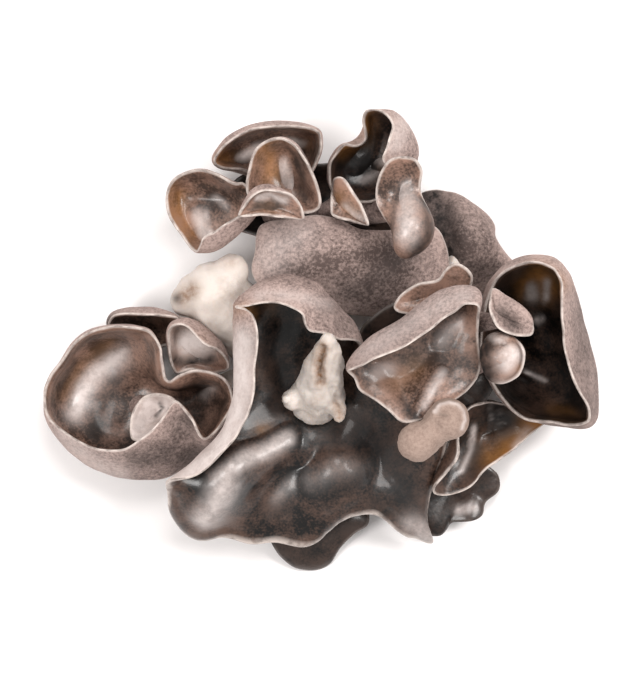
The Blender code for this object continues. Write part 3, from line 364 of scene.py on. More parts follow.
# Ridges (+) and hollows (-) drawn on a piece: half width, height, then a path over (x, y)
FOLDS = {
    "ear_great": (
        (2.4, 1.0, (-26, -39), (-23.5, -35), (-21.5, -30.5)),
        (2.0, 1.2, (-21, -29.5), (-17.5, -27), (-13, -25.5), (-8, -22.5)),
        (2.6, -1.2, (-15, -38), (-12, -33), (-7, -29), (-2, -27)),
        (2.4, 0.3, (-1, -35), (1, -30), (7, -30)), (2.5, -1.0, (12, -34), (14, -26), (20, -20)),
        (2.2, -0.8, (-8, -12), (-11, -2), (-9, 4)), (1.4, 0.9, (5, 2), (6, 8), (2, 12)),
        (1.2, -0.6, (-13, 13), (-8, 14), (-3, 12)),
        (1.3, 1.7, (-35, -36.3), (-32.4, -41.6), (-28.5, -44.7), (-23, -44.6), (-16.5, -46.6),
         (-10.3, -46.2), (-3.2, -47), (0.8, -43.8), (4.3, -40.6), (9.5, -39), (15, -40.2),
         (20.5, -45)),
    ),
    "ear_left_cup": (
        (3.0, -0.8, (-60, -14), (-55, -5), (-47, -1)),
        (2.6, 0.7, (-50, -18), (-49, -10), (-44, -5)),
        (2.0, 0.9, (-33, -19), (-28, -17), (-24, -12)),
    ),
    "ear_left_small": ((3.4, 2.6, (-31, 0), (-29, 0.5), (-27.5, 0.5)),),
    "ear_front_long": (
        (0.8, 0.7, (23.5, -15.5), (25.5, -11.5), (28.5, -7)),
        (2.0, -0.7, (13, -5), (18, -9), (20, -15)), (1.6, 1.1, (28.5, 1), (31, 4), (34, 7)),
        (1.4, 0.5, (12, -7), (15.5, -6)),
    ),
    "ear_front_lobe": (
        (0.7, -1.0, (41, -7.6), (44, -7.4), (45.6, -5.2), (46, -2), (44.8, 0.6)),
        (0.8, -0.9, (38.6, 0.4), (40.5, -1.4), (42.5, -0.6)),
        (1.0, -0.6, (39.5, -5.5), (41.5, -4.5)),
    ),
    "ear_lower_right": (
        (0.7, 0.8, (40, -15), (40.4, -21)), (0.6, 0.7, (42.6, -16), (43.2, -20)),
        (1.6, -0.8, (36, -22), (33, -28)),
    ),
    "ear_right_cup": (
        (2.2, 0.9, (52, 16), (50, 8), (53, 0)), (1.8, -0.8, (45, 10), (44, 0), (47, -8)),
    ),
    "ear_top_left": (
        (2.2, -0.7, (-33, 36), (-29, 33), (-22, 34)), (1.4, 0.6, (-28, 31), (-26.5, 25)),
    ),
    "ear_top_back": ((1.3, 0.8, (-19, 44.5), (-14, 47.5), (-6, 48)),),
    "ear_top_arch": ((0.9, 0.9, (-8, 34), (-7, 38), (-7.5, 43)),),
    "ear_crown": ((1.5, 0.9, (8, 42), (12, 46), (13, 52)), (0.9, 0.8, (15, 42.5), (22, 43))),
    "ear_crown_lobe": ((1.4, 0.7, (19, 22), (21, 27), (20, 33)),),
    "ear_back": ((2.0, -1.6, (30, 16), (30, 25), (29, 33)),),
    "ear_grey": ((3.0, 0.5, (-10, 25), (0, 21), (8, 22)),),
    "nub": ((0.8, -1.5, (0.2, -9), (-0.3, -5), (0.6, -1.5)), (0.8, -0.7, (3, -11), (5, -14))),
    "stub": (
        (0.8, -0.9, (27, -16), (28.6, -16.4)),
        (0.5, 0.35, (26.2, -15.6), (27.5, -14.1), (29.4, -13.6), (31.3, -14.1), (32.7, -15.5),
         (33.1, -17.5)),
    ),
}
# Tints: half width, strength, then a path over (x, y). Amber is thin flesh with light coming
# through it, and stains on the foot. The pale tint on the flesh is mostly painted highlights, and
# in the small cup and the young ear partly the flesh's own pale colour; the pale tint on the
# velvety skin is painted light where the skin faces the soft boxes, and partly its own paler nap.
# The dark tint is painted shade in deep folds, hollows and gaps.
AMBER = {
    "ear_lower_right": ((4, 1.0, (43, -29), (49, -23), (54, -16)), (4, 0.35, (40, -27))),
    "ear_top_arch": ((3.5, 0.5, (-13, 45), (-12, 40)),),
    "ear_top_back": ((3, 0.8, (-24, 43.5)), (2.2, 0.5, (-2, 48))),
    "ear_top_left": ((3, 0.55, (-34, 35), (-34.5, 30), (-31, 25)),),
    "ear_top_pocket": ((3, 0.3, (-12, 31.5)),),
    "ear_crown": ((2, 0.75, (11, 53), (9.5, 49), (4, 46)), (1.6, 0.6, (17, 41), (21, 40))),
    "ear_crown_left": ((2, 0.45, (5, 35), (8, 31)),),
    "ear_right_cup": ((3, 1.0, (48.5, 15), (51, 17), (55, 14)), (2, 0.5, (55, -18), (60, -18))),
    "ear_great": ((2.2, 0.8, (-22, 7), (-18, 8)), (2, 0.3, (-12, 9)), (1.6, 0.5, (-14, -20))),
    "ear_left_cup": ((2.4, 0.3, (-62, -12), (-57, -4), (-50, 1)),),
    "ear_left_small": ((2, 0.6, (-34, 2), (-32, -2)), (3, 0.35, (-30, 0.5), (-27, 1))),
    "ear_front_long": ((3.2, 0.3, (17, -9), (22, -6)),),
    "ear_front_lobe": ((0.8, 0.7, (45.5, -5.5)),),
    "foot": ((2.5, 0.4, (-21, 19)), (3.5, 0.2, (-24, 9)), (2.2, 0.9, (-32, 11), (-30, 12.5))),
    "nub": ((1.7, 1.0, (0.2, -9), (-0.3, -5), (0.6, -1)), (1.6, 0.8, (4, -14), (4.6, -17))),
}
# painted highlights on the glossy flesh, and in the small cup and the young ear partly its own pale
# colour
HIGHLIGHTS_AND_PALE_FLESH = {
    "ear_left_cup": (
        (2.7, 1.0, (-59, -17), (-57, -11), (-53, -6), (-47, -2)),
        (1.4, 0.5, (-26, -12), (-24.5, -10)),
    ),
    "ear_left_young": ((6, 1.0, (-43, -20), (-40.5, -14), (-37, -14)),),
    "ear_left_small": ((4.2, 1.0, (-32, 0.5), (-28, 1)),),
    "ear_great": (
        (2.4, 0.65, (-27, -40), (-24, -36), (-22, -31.5)),
        (1.3, 0.6, (-21, -29.5), (-17.5, -27), (-13, -25.5), (-8, -22.5)),
        (2.2, 0.15, (-1, -32), (3, -30), (8, -29)), (1.8, 0.2, (-10, -36), (-7, -33)),
        (2.6, 0.5, (21, -42), (26, -46)),
    ),
    "ear_under_right": ((1.1, 0.55, (33.4, -40.2), (36.5, -39.5)),),
    "ear_front_long": (
        (1.8, 0.5, (12.5, -7), (15.5, -6)), (2, 0.35, (28.5, 1), (32, 5)),
        (0.6, 0.6, (24.2, -15), (26, -11), (28.5, -7)),
    ),
    "ear_front_lobe": (
        (1.8, 0.95, (42.5, -4), (44, -2.5)),
        (0.7, 0.9, (41.2, -9), (44.8, -8.6), (47.2, -6), (47.7, -2), (46, 1.4)),
        (0.6, 0.7, (39, 1.6), (41, 0.6), (42.5, 1.2)),
    ),
    "ear_lower_right": (
        (0.7, 0.7, (36.5, -20), (36, -25), (33.5, -30)), (0.4, 0.6, (40.3, -14), (40.8, -18)),
        (0.6, 0.6, (44, -29), (49, -25), (53, -20)), (1.0, 0.5, (46.4, -24.5), (49.4, -20.5)),
        (0.4, 0.6, (42.5, -15.5), (43, -19)),
    ),
    "ear_top_left": ((1.4, 0.65, (-28, 30), (-26.5, 25)), (1.1, 0.4, (-24, 35), (-21.5, 32))),
    "ear_top_back": ((1.1, 0.85, (-19, 44.5), (-15, 47), (-8, 48.5), (-3, 48)),),
    "ear_top_arch": ((1.0, 0.6, (-8.5, 43), (-7.5, 39), (-6, 34)),),
    "ear_top_pocket": ((1.0, 0.85, (-15, 34.6), (-11, 35.8), (-7.5, 34)),),
    "ear_crown": ((0.7, 0.5, (15, 43), (22, 43)), (1.2, 0.4, (10, 38), (14, 40))),
    "ear_crown_left": ((0.9, 0.5, (7, 33), (10, 29.5)),),
    "ear_crown_lobe": ((2.0, 0.55, (20, 36), (20.5, 31), (20.5, 25)),),
    "ear_right_cup": (
        (1.3, 1.0, (50.6, 14.4), (50.8, 12.4)), (1.1, 1.0, (54, 15.4), (54.3, 12)),
        (0.7, 0.9, (52.2, 6.6), (53.4, 6.2)), (0.7, 0.9, (50, -7.6), (54.2, -9)),
    ),
}
# paler patches on the velvety skin: painted light where it faces the soft boxes, and partly its own
# paler nap
PALE_SKIN_AND_LIGHT = {
    "ear_great": (
        (3.4, 0.95, (-18, 0), (-18.5, -10), (-20, -18), (-25, -26), (-33, -31)),
        (1.4, 0.3, (-14, 11), (-6, 11), (2, 9)),
    ),
    "ear_left_cup": ((3, 0.35, (-60, -21), (-54, -28), (-47, -31)),),
    "ear_front_long": ((2.4, 0.3, (10, -2), (20, 4), (28, 9), (33, 11)),),
    "ear_crown": ((2.5, 0.4, (17, 46), (20, 52)),),
    "ear_grey": ((5, 0.25, (-12, 20), (-6, 26)),),
    "stub": (
        (0.42, 0.6, (26.2, -15.6), (27.5, -14.1), (29.4, -13.6), (31.3, -14.1), (32.7, -15.5),
         (33.1, -17.5), (32.4, -19.5)),
    ),
}
# painted shade: the dark of deep folds, hollows and gaps between the ears
PAINTED_SHADE = {
    "ear_left_cup": (
        (2.6, 0.5, (-53, -22), (-51.5, -14), (-48, -8)),
        (0.9, 0.6, (-64.5, -15), (-63, -9), (-59.5, -3)), (3.5, 0.6, (-33, -20), (-29, -18)),
        (3.6, 0.65, (-43, -27), (-36, -26), (-30, -27)),
    ),
    "ear_left_young": ((0.6, 0.8, (-37, -12.6), (-35.6, -15), (-37.4, -18)),),
    "ear_left_small": ((1.8, 0.9, (-35, -4), (-30, -4.5), (-25, -3)),),
    "ear_left_lip": ((2.5, 0.9, (-50, 5), (-46, 4.5)), (4, 0.4, (-42, 2))),
    "ear_great": (
        (4, 0.6, (-12, -1), (-9, -10), (-13, -17)),
        (5, 0.7, (4, -22), (10, -20), (16, -27), (20, -36)), (3, 0.5, (3, -33), (8, -32)),
        (2.5, 0.6, (12, -37), (18, -39)), (2.5, 0.4, (-13, -38), (-8, -38)),
        (3.2, 0.4, (2, 8), (7, 4)),
    ),
    "ear_lower_right": ((3.6, 0.85, (41, -14), (44, -19)), (1.8, 0.6, (37, -25), (36, -31))),
    "ear_front_long": (
        (1.8, 0.7, (18.5, -14), (21.5, -17)), (1.8, 0.5, (32, -4), (29, -7)),
        (7, 0.45, (12, -9), (22, -3), (34, -2)),
    ),
    "ear_front_lobe": (
        (2.4, 1.0, (38, 1), (38.6, -7)),
        (0.5, 0.6, (41, -7.6), (44, -7.4), (45.6, -5.2), (46, -2), (44.8, 0.6)),
        (0.9, 0.6, (39.5, -5.5), (41.5, -4.8)),
        (0.6, 0.7, (38.6, 0.4), (40.5, -1.4), (42.5, -0.6)),
    ),
    "ear_front_flap": ((2.5, 0.8, (41.5, 7), (44, 4)),),
    "ear_top_left": ((2, 0.3, (-30, 34), (-25, 31)),),
    "ear_top_back": ((1.6, 0.8, (-19, 42.5), (-8, 45), (-3, 45.5)),),
    "ear_top_arch": ((1.6, 0.7, (-4, 44), (-2.5, 38), (-3, 34)),),
    "ear_top_pocket": ((1.8, 0.75, (-15, 32), (-9, 32)),),
    "ear_crown": ((3, 0.6, (4, 42), (9, 45)),),
    "ear_crown_lobe": (
        (1.5, 0.8, (24, 33), (24.4, 26), (21, 20.5)), (0.9, 0.5, (17.5, 36), (17.4, 25)),
    ),
    "ear_back": (
        (5, 0.9, (26, 36), (29.5, 28), (30.5, 19)), (3, 0.5, (36, 18), (42, 17)),
        (9, 0.28, (38, 27)),
    ),
    "ear_grey": ((4.4, 0.55, (7, 12), (13, 14), (19, 21)),),
    "ear_right_cup": (
        (4, 0.55, (62, 11), (60.5, -5), (62, -15)), (2.4, 0.7, (53, -19), (60, -19)),
    ),
    "foot": ((1.3, 0.7, (-33.6, 10.6)), (2, 0.3, (-25, 4), (-22, 1))),
    "nub": ((0.6, 0.5, (-0.4, -7), (0, -3)), (9, 0.13, (0, -14), (1, 0))),
    "stub": ((0.5, 0.4, (27, -16), (28.6, -16.4)),),
}
TINTS = {"amber": AMBER, "frost": HIGHLIGHTS_AND_PALE_FLESH, "dust": PALE_SKIN_AND_LIGHT, "soot": PAINTED_SHADE}

# The stalks of the ears that stand high above the foot: (point, radius) from the heart down
STALKS = {
    "ear_front_long": [((21.5, -4, 28), 3.6), ((17, -6, 16), 4), ((12, -7, 6), 4.5)],
    "ear_front_flap": [((36, 5, 29.5), 2.6), ((31, 5, 19), 3), ((26, 3, 8), 3.5)],
    "ear_front_lobe": [((36, -5, 28.5), 2.4), ((31, -7, 19), 3), ((25, -8, 8), 3.5)],
    "ear_small": [((29, 8.5, 15), 2.4), ((27, 5, 7), 3)],
    "ear_left_young": [((-41, -16, 9), 2.2), ((-43, -15, 2), 2.8)],
    "ear_top_left": [((-25, 31, 13), 3), ((-15, 29, 8), 3.5), ((-9, 27, 7), 4)],
    "ear_top_back": [((-11, 40, 7.5), 3), ((-9, 31, 6), 3.5)],
    "ear_top_arch": [((-8, 34, 15), 3), ((-7, 29, 7), 3.5)],
    "ear_top_pocket": [((-12, 32.5, 25), 2), ((-12, 32, 15), 2.4), ((-10, 28, 8), 3)],
    "ear_crown": [((9, 37, 7), 3), ((1, 31, 5), 3.5)],
    "ear_crown_lobe": [((17.5, 32, 20), 3), ((10, 31, 9), 3.4), ((0, 28, 6), 3.8)],
    "ear_crown_left": [((4, 32, 15), 2.4), ((-1, 29, 7), 3)],
}
# Limbs of (point, radius): the pale foot that every ear grows from, and the stumps of torn stalks
FOOT = [
    [((-1, -5, -4), 14), ((-1, -5, 3), 12.5), ((-3, -11, 9), 7.5), ((-2, -14, 14), 5.5)],
    [((-6, -8, 5), 7), ((-20, -11, 6), 5), ((-30, -13, 5), 3)],
    [((-6, -5, 6), 8), ((-14, 1, 10), 8), ((-22, 8, 14), 8.5)],
    [((-22, 8, 14), 8.5), ((-24.5, 12, 16), 7.5), ((-20.8, 17, 18), 4.2)],
    [((-25, 11, 15), 7), ((-29, 11.3, 14), 5.5), ((-31.8, 10, 13), 3.6)],
    [((-20, 5, 12), 5), ((-27, 1, 7), 4), ((-36, 5, 5), 2.5)],
    [((-4, -2, 5), 8), ((-5, 12, 7), 6.5), ((-7, 26, 6), 6), ((2, 31, 5), 5)],
    [((2, -8, 6), 8), ((14, -6, 7), 6.5), ((28, 2, 6), 5.5), ((38, 1, 5), 3.5)],
    [((28, 2, 6), 5), ((32, 13, 4.5), 4), ((33, 20, 6), 3)],
    [((14, -9, 6), 6), ((25, -19, 6), 5.5), ((36, -22, 5), 3.5)],
    [((-3, -14, 5), 8), ((-2, -30, 3.5), 4)],
    [((25, -19, 6), 5), ((29, -28, 3), 3)],
]
NUB = [
    [((-1, -13, 20.5), 6.2), ((0, -10, 27), 5.6), ((1, -5.5, 32), 4.8)],
    [((1, -5.5, 32), 4.8), ((1.7, -2, 36), 3.4), ((1.8, 0.4, 38.5), 2.2)],
    [((-3, -12.7, 22), 4.5), ((-6.3, -13, 26), 2.6), ((-7.6, -13, 28), 1.4)],
    [((2, -12, 24), 4), ((4.2, -15.3, 28), 2.2), ((4.4, -17, 30), 1.4)],
]
STUB = [
    [((23, -19, 8), 4), ((24.8, -21.5, 18), 4), ((25.4, -21, 30), 4)],
    [((25.4, -21, 30), 4), ((26.5, -19.5, 36), 4), ((29.4, -17.3, 40.5), 4.9)],
    [((25.5, -21, 32), 4), ((22.4, -22.6, 39.5), 4.7)],
    [((29.4, -17.3, 40.5), 3.6), ((26, -20.2, 40.5), 3.6), ((22.4, -22.6, 39.5), 3.8)],
]
# Tints laid over a colour, one after the other: (attribute, colour, its most)
# the pale tints add painted highlights and painted light, the dark one painted shade
ON_FLESH = (("amber", "amber", 1), ("frost", "frost", 1), ("soot", "soot", 1))
ON_SKIN = (("amber", "amber", 0.3), ("dust", "frost", 1), ("soot", "soot", 1))
MIX, FROM, TO, MIXED = 0, 6, 7, 2    # sockets of a Mix node that mixes colours
TREES = {}    # the sorted faces of each cutter, by its name


def linear(value):
    """An sRGB hex value as linear red, green and blue."""
    shares = [int(value[i : i + 2], 16) / 255 for i in (1, 3, 5)]
    return tuple(s / 12.92 if s <= 0.04045 else ((s + 0.055) / 1.055) ** 2.4 for s in shares)


def length_property(name, description, value):
    """A length that a user can change, given in millimetres."""
    return FloatProperty(name=name, description=description, unit="LENGTH", default=value * MM)


def colour_property(name, description, value):
    """A colour that a user can change, given as an sRGB hex value."""
    return FloatVectorProperty(name=name, description=description, subtype="COLOR", size=3,
                               min=0, max=1, default=linear(value))


class WoodEarSizes(bpy.types.PropertyGroup):
    """Sizes of the flesh and how finely it is drawn."""

    sheet: length_property("Flesh", "Thickness of an ear's flesh", 1.8)
    hem: length_property("Hem", "Thickness that the flesh thins to at the rim", 0.55)
    taper: length_property("Taper", "Width of the band along the rim where the flesh thins", 4)
    ripple: length_property("Ripple height", "Height of the soft ripples in an ear", 0.55)
    ripple_length: length_property("Ripple length", "Distance from one ripple to the next", 9)
    pleat: length_property("Pleat height", "Height of the fine pleats that run to the rim", 0.12)
    pleat_width: length_property("Pleat width", "Distance from one pleat to the next", 3)
    grain: length_property("Grain", "Size of an ear's faces before they are subdivided", 1.1)


class WoodEarColours(bpy.types.PropertyGroup):
    """Colours of the flesh, the skin and the foot."""

    # the flesh runs from warm near the rim to deep far in from it (and dusk to black): painted
    # shade that darkens it with depth
    warm: colour_property("Warm brown", "Glossy flesh near the rims of the brown ears", "#8f7163")
    deep: colour_property("Deep brown", "Glossy flesh deep in the brown ears", "#372a24")
    dusk: colour_property("Dusk", "Glossy flesh on the ridges of the black ears", "#4d3a31")
    black: colour_property("Black", "Glossy flesh of the black ears", "#0a0808")
    # the colour of the painted shade, laid deep in folds and gaps
    soot: colour_property("Painted shade", "The darkest flesh, deep in folds", "#0e0908")
    amber: colour_property("Amber", "Thin flesh with light coming through it", "#966737")
    # the colour of the painted highlights on the flesh and of the painted light on the velvety skin
    frost: colour_property("Highlight and pale", "Flesh dried to a pale bloom", "#cdc2be")
    hem: colour_property("Hem", "Light line along a rim", "#c2b6af")
    nap: colour_property("Nap", "Velvety skin, its light hairs", "#a7928b")
    nap_shade: colour_property("Nap shade", "Velvety skin between its hairs", "#50423e")
    cream: colour_property("Cream", "The firm flesh of the foot", "#ccc3bc")
    ochre: colour_property("Ochre", "Old fibres and stains in the foot", "#75502e")
    tan: colour_property("Tan", "The velvety stub", "#978378")
    tan_shade: colour_property("Tan shade", "The stub between its hairs", "#7c685e")


class WoodEarStudio(bpy.types.PropertyGroup):
    """The lights, the floor and the camera."""

    paper: colour_property("Paper", "The pale floor", "#efeded")
    lamp: colour_property("Lamp", "The light of the soft boxes", "#fffcfa")
    power: FloatProperty(name="Power", description="Power of the main soft box", unit="POWER",
                         default=3.3)
    sky: FloatProperty(name="Sky", description="Strength of the even light all round", default=0.65)
    height: length_property("Height", "How far the camera stands above the clump", 900)
    lens: FloatProperty(name="Lens", description="Focal length in millimetres", unit="CAMERA",
                        default=200)


def fill(tree, node, inputs):
    """Give a node's sockets their values or links, by name or in order."""
    for key, value in inputs.items() if isinstance(inputs, dict) else enumerate(inputs):
        if isinstance(value, bpy.types.NodeSocket):
            tree.links.new(value, node.inputs[key])
        else:
            node.inputs[key].default_value = value


def add(tree, kind, output, inputs=(), **settings):
    """Add a shader node with its settings and inputs, and return one of its outputs.

    A Map Range takes a value, the two ends it runs between and the two ends it is mapped to.
    """
    made = tree.nodes.new("ShaderNode" + kind)
    for name, value in settings.items():
        setattr(made, name, value)
    fill(tree, made, inputs)
    return made.outputs[output]


def tone(name):
    """One of the clump's colours, as a socket takes it."""
    return (*getattr(bpy.context.scene.wood_ear_colours, name), 1)


def tinted(tree, colour, spot, tints):
    """Lay the painted tints over a colour, uneven in soft blotches 2.4 mm across."""
    blotches = add(tree, "TexNoise", "Fac",
                   {"Vector": spot, "Scale": 1 / (2.4 * MM), "Detail": 4, "Roughness": 0.65})
    uneven = add(tree, "MapRange", 0, (blotches, 0.35, 0.65, 0.75, 1.2))
    for name, tint, most in tints:
        amount = add(tree, "Attribute", "Fac", attribute_name=name)
        even = add(tree, "Math", 0, (amount, most), operation="MULTIPLY")
        share = add(tree, "Math", 0, (even, uneven), operation="MULTIPLY", use_clamp=True)
        colour = add(tree, "Mix", MIXED, {MIX: share, FROM: colour, TO: tone(tint)},
                     data_type="RGBA")
    return colour


def edged(tree, colour, spot, strength, width):
    """Draw the thin light line where a sheet ends, broken by nicks 3 mm apart."""
    to_rim = add(tree, "Attribute", "Fac", attribute_name="to_rim")
    nicks = add(tree, "TexNoise", "Fac",
                {"Vector": spot, "Scale": 1 / (3 * MM), "Detail": 3, "Roughness": 0.6})
    whole = add(tree, "MapRange", 0, (nicks, 0.35, 0.55, 0.3, 1))
    line = add(tree, "MapRange", 0, (to_rim, 0.1 * MM, width * MM, strength, 0))
    share = add(tree, "Math", 0, (line, whole), operation="MULTIPLY", use_clamp=True)
    return add(tree, "Mix", MIXED, {MIX: share, FROM: colour, TO: tone("hem")}, data_type="RGBA")


def gelatinous_flesh(tree, shader, warm, deep, line, width):
    """Ear jelly, grown and wet: broad soft highlights, brown where thin and black where deep.

    Its patches are 8 mm across and its lumps 1.8 mm. Its grit is far finer in life, and is drawn
    at 0.6 mm so that it shows. The light line at its rim has a strength and a width in millimetres.
    Its darkening deep in from the rim is painted shade.
    """
    spot = add(tree, "TexCoord", "Object")
    to_rim = add(tree, "Attribute", "Fac", attribute_name="to_rim")
    soot = add(tree, "Attribute", "Fac", attribute_name="soot")
    clouds = add(tree, "TexNoise", "Fac",
                 {"Vector": spot, "Scale": 1 / (8 * MM), "Detail": 6, "Roughness": 0.65})
    lumps = add(tree, "TexNoise", "Fac",
                {"Vector": spot, "Scale": 1 / (1.8 * MM), "Detail": 4, "Roughness": 0.6})
    grit = add(tree, "TexNoise", "Fac", {"Vector": spot, "Scale": 1 / (0.6 * MM), "Detail": 2})
    # painted shade: lighter near the rim, darker deep in the ear
    painted_depth_shade = add(tree, "MapRange", 0, (to_rim, 0, 14 * MM, 0.7, 0.3))
    patches = add(tree, "MapRange", 0, (clouds, 0.35, 0.65, -0.6, 0.6))
    specks = add(tree, "MapRange", 0, (grit, 0.3, 0.7, -0.3, 0.3))
    patchy = add(tree, "Math", 0, (painted_depth_shade, patches), operation="ADD")
    warmth = add(tree, "Math", 0, (patchy, specks), operation="ADD", use_clamp=True)
    jelly = add(tree, "Mix", MIXED, {MIX: warmth, FROM: tone(deep), TO: tone(warm)},
                data_type="RGBA")
    painted = tinted(tree, jelly, spot, ON_FLESH)
    film = add(tree, "MapRange", 0, (clouds, 0.3, 0.7, 0.28, 0.42))
    fill(tree, shader, {
        "Base Color": edged(tree, painted, spot, line, width),
        "Roughness": add(tree, "Math", 0, (soot, 0.4, film), operation="MULTIPLY_ADD"),
        "Normal": add(tree, "Bump", 0, {"Height": lumps, "Strength": 0.45, "Distance": 0.25 * MM}),
        "IOR": 1.4,
        "Coat Weight": 0.2,
        "Coat Roughness": 0.15,
    })


def velvety_skin(tree, shader, light, shade, depth):
    """Dull skin grown over with short hairs: a fine speckle, pale where the hairs catch the light.

    The hairs are about 0.1 mm apart in life, and are drawn at 0.75 mm so that they show. The
    skin is worn in patches 7 mm across, and is darkened by a depth over 16 mm in from the rim,
    a painted shade towards the heart of the ear.
    """
    spot = add(tree, "TexCoord", "Object")
    to_rim = add(tree, "Attribute", "Fac", attribute_name="to_rim")
    hairs = add(tree, "TexNoise", "Fac",
                {"Vector": spot, "Scale": 1 / (0.75 * MM), "Detail": 3, "Roughness": 0.7})
    patches = add(tree, "TexNoise", "Fac",
                  {"Vector": spot, "Scale": 1 / (7 * MM), "Detail": 5, "Roughness": 0.6})
    speckle = add(tree, "MapRange", 0, (hairs, 0.3, 0.7, -0.5, 0.5))
    cloudy = add(tree, "MapRange", 0, (patches, 0.35, 0.65, 0.4, 0.85))
    # painted shade towards the heart of the ear
    painted_inward_shade = add(tree, "MapRange", 0, (to_rim, 0, 16 * MM, 0.1, -depth))
    worn = add(tree, "Math", 0, (cloudy, painted_inward_shade), operation="ADD")
    bright = add(tree, "Math", 0, (worn, speckle), operation="ADD", use_clamp=True)
    skin = add(tree, "Mix", MIXED, {MIX: bright, FROM: tone(shade), TO: tone(light)},
               data_type="RGBA")
    fill(tree, shader, {
        "Base Color": edged(tree, tinted(tree, skin, spot, ON_SKIN), spot, 0.7, 0.6),
        "Normal": add(tree, "Bump", 0, {"Height": hairs, "Strength": 0.6, "Distance": 0.2 * MM}),
        "Roughness": 0.85,
        "IOR": 1.45,
        "Sheen Weight": 0.3,
        "Sheen Roughness": 0.5,
        "Sheen Tint": tone(light),
    })


def cut_hem(tree, shader):
    """The edge of the sheet, where pale flesh shows between skin and jelly, with dark nicks."""
    spot = add(tree, "TexCoord", "Object")
    nicks = add(tree, "TexNoise", "Fac",
                {"Vector": spot, "Scale": 1 / (2.5 * MM), "Detail": 4, "Roughness": 0.6})
    share = add(tree, "MapRange", 0, (nicks, 0.35, 0.6, 0.3, 1))
    hem = add(tree, "Mix", MIXED, {MIX: share, FROM: tone("nap_shade"), TO: tone("hem")},
              data_type="RGBA")
    fill(tree, shader, {"Base Color": hem, "Roughness": 0.5, "IOR": 1.42})


def firm_flesh(tree, shader):
    """Fibrous flesh of the foot, torn: cream and matt, with ochre where its fibres are old.

    The fibres are 1.1 mm apart and run up and down, and the faint stains are 7 mm across.
    """
    spot = add(tree, "TexCoord", "Object")
    stain = add(tree, "Attribute", "Fac", attribute_name="amber")
    soot = add(tree, "Attribute", "Fac", attribute_name="soot")
    along = add(tree, "Mapping", 0, {"Vector": spot, "Scale": (1, 1, 0.25)})
    fibres = add(tree, "TexNoise", "Fac",
                 {"Vector": along, "Scale": 1 / (1.1 * MM), "Detail": 5, "Roughness": 0.65})
    patches = add(tree, "TexNoise", "Fac",
                  {"Vector": spot, "Scale": 1 / (7 * MM), "Detail": 5, "Roughness": 0.6})
    faint = add(tree, "MapRange", 0, (patches, 0.45, 0.75, 0, 0.5))
    drawn = add(tree, "MapRange", 0, (fibres, 0.35, 0.7, 0.6, 1.1))
    marked = add(tree, "Math", 0, (stain, faint), operation="MAXIMUM")
    amount = add(tree, "Math", 0, (marked, drawn), operation="MULTIPLY", use_clamp=True)
    pale = add(tree, "Mix", MIXED, {MIX: amount, FROM: tone("cream"), TO: tone("ochre")},
               data_type="RGBA")
    fill(tree, shader, {
        # the dark tint here is painted shade
        "Base Color": add(tree, "Mix", MIXED, {MIX: soot, FROM: pale, TO: tone("soot")},
                          data_type="RGBA"),
        "Normal": add(tree, "Bump", 0, {"Height": fibres, "Strength": 0.5, "Distance": 0.3 * MM}),
        "Roughness": 0.55,
        "IOR": 1.4,
        "Subsurface Weight": 0.15,
        "Subsurface Radius": (1, 0.6, 0.35),
        "Subsurface Scale": 1.5 * MM,
    })


# How each material is made: its maker, then the settings that the maker takes
FINISHES = {
    "brown_jelly_flesh": (gelatinous_flesh, "warm", "deep", 0.7, 0.6),
    "dark_jelly_flesh": (gelatinous_flesh, "dusk", "black", 0.7, 0.6),
    # for the ears seen only in gaps: black all over, as painted shade
    "black_jelly_flesh": (gelatinous_flesh, "deep", "black", 0.1, 0.6),    # with hardly a line
    "frilled_jelly_flesh": (gelatinous_flesh, "dusk", "black", 1, 1.6),    # with a broad pale frill
    # the second skin differs only in twice the painted shade towards the heart
    "velvety_skin": (velvety_skin, "nap", "nap_shade", 0.25),
    "thick_velvety_skin": (velvety_skin, "nap", "nap_shade", 0.5),
    "tan_velvet": (velvety_skin, "tan", "tan_shade", 0),
    "cut_hem": (cut_hem,),
    "firm_cream_flesh": (firm_flesh,),
}


def material(name):
    """The material of that name, made when it is first asked for."""
    if name not in bpy.data.materials:
        made = bpy.data.materials.new(name)
        made.use_nodes = True
        make, *settings = FINISHES[name]
        make(made.node_tree, made.node_tree.nodes["Principled BSDF"], *settings)
    return bpy.data.materials[name]


def placed(name, mesh, group=None):
    """A new object for a bmesh or a mesh, linked to the scene's own collection or to a group."""
    if isinstance(mesh, bmesh.types.BMesh):
        data = bpy.data.meshes.new(name)
        mesh.to_mesh(data)
        mesh.free()
    else:
        data = mesh
    obj = bpy.data.objects.new(name, data)
    (group or bpy.context.scene.collection).objects.link(obj)
    return obj


def applied(guide):
    """Replace an object by a mesh object of its evaluated shape."""
    depsgraph = bpy.context.evaluated_depsgraph_get()
    data = bpy.data.meshes.new_from_object(guide.evaluated_get(depsgraph))
    name, group = guide.name, guide.users_collection[0]
    bpy.data.objects.remove(guide)
    return placed(name, data, group)


def vectors(items, attribute="co"):
    """An attribute of three numbers of a mesh's items, by item."""
    values = np.empty(len(items) * 3)
    items.foreach_get(attribute, values)
    return values.reshape(-1, 3)


def loop_through(points, steps):
    """Catmull-Rom curve through a closed loop of points, with so many steps to each next point."""
    before, after, beyond = (np.roll(points, k, axis=0)[:, None] for k in (1, -1, -2))
    here = points[:, None]
    s = (np.arange(steps) / steps)[None, :, None]
    curve = (2 * here + (after - before) * s + (2 * before - 5 * here + 4 * after - beyond) * s**2
             + (3 * here - before - 3 * after + beyond) * s**3)
    return curve.reshape(-1, 3) / 2


def round_length(loop):
    """The length of a closed loop of points."""
    return np.linalg.norm(loop - np.roll(loop, 1, axis=0), axis=1).sum()


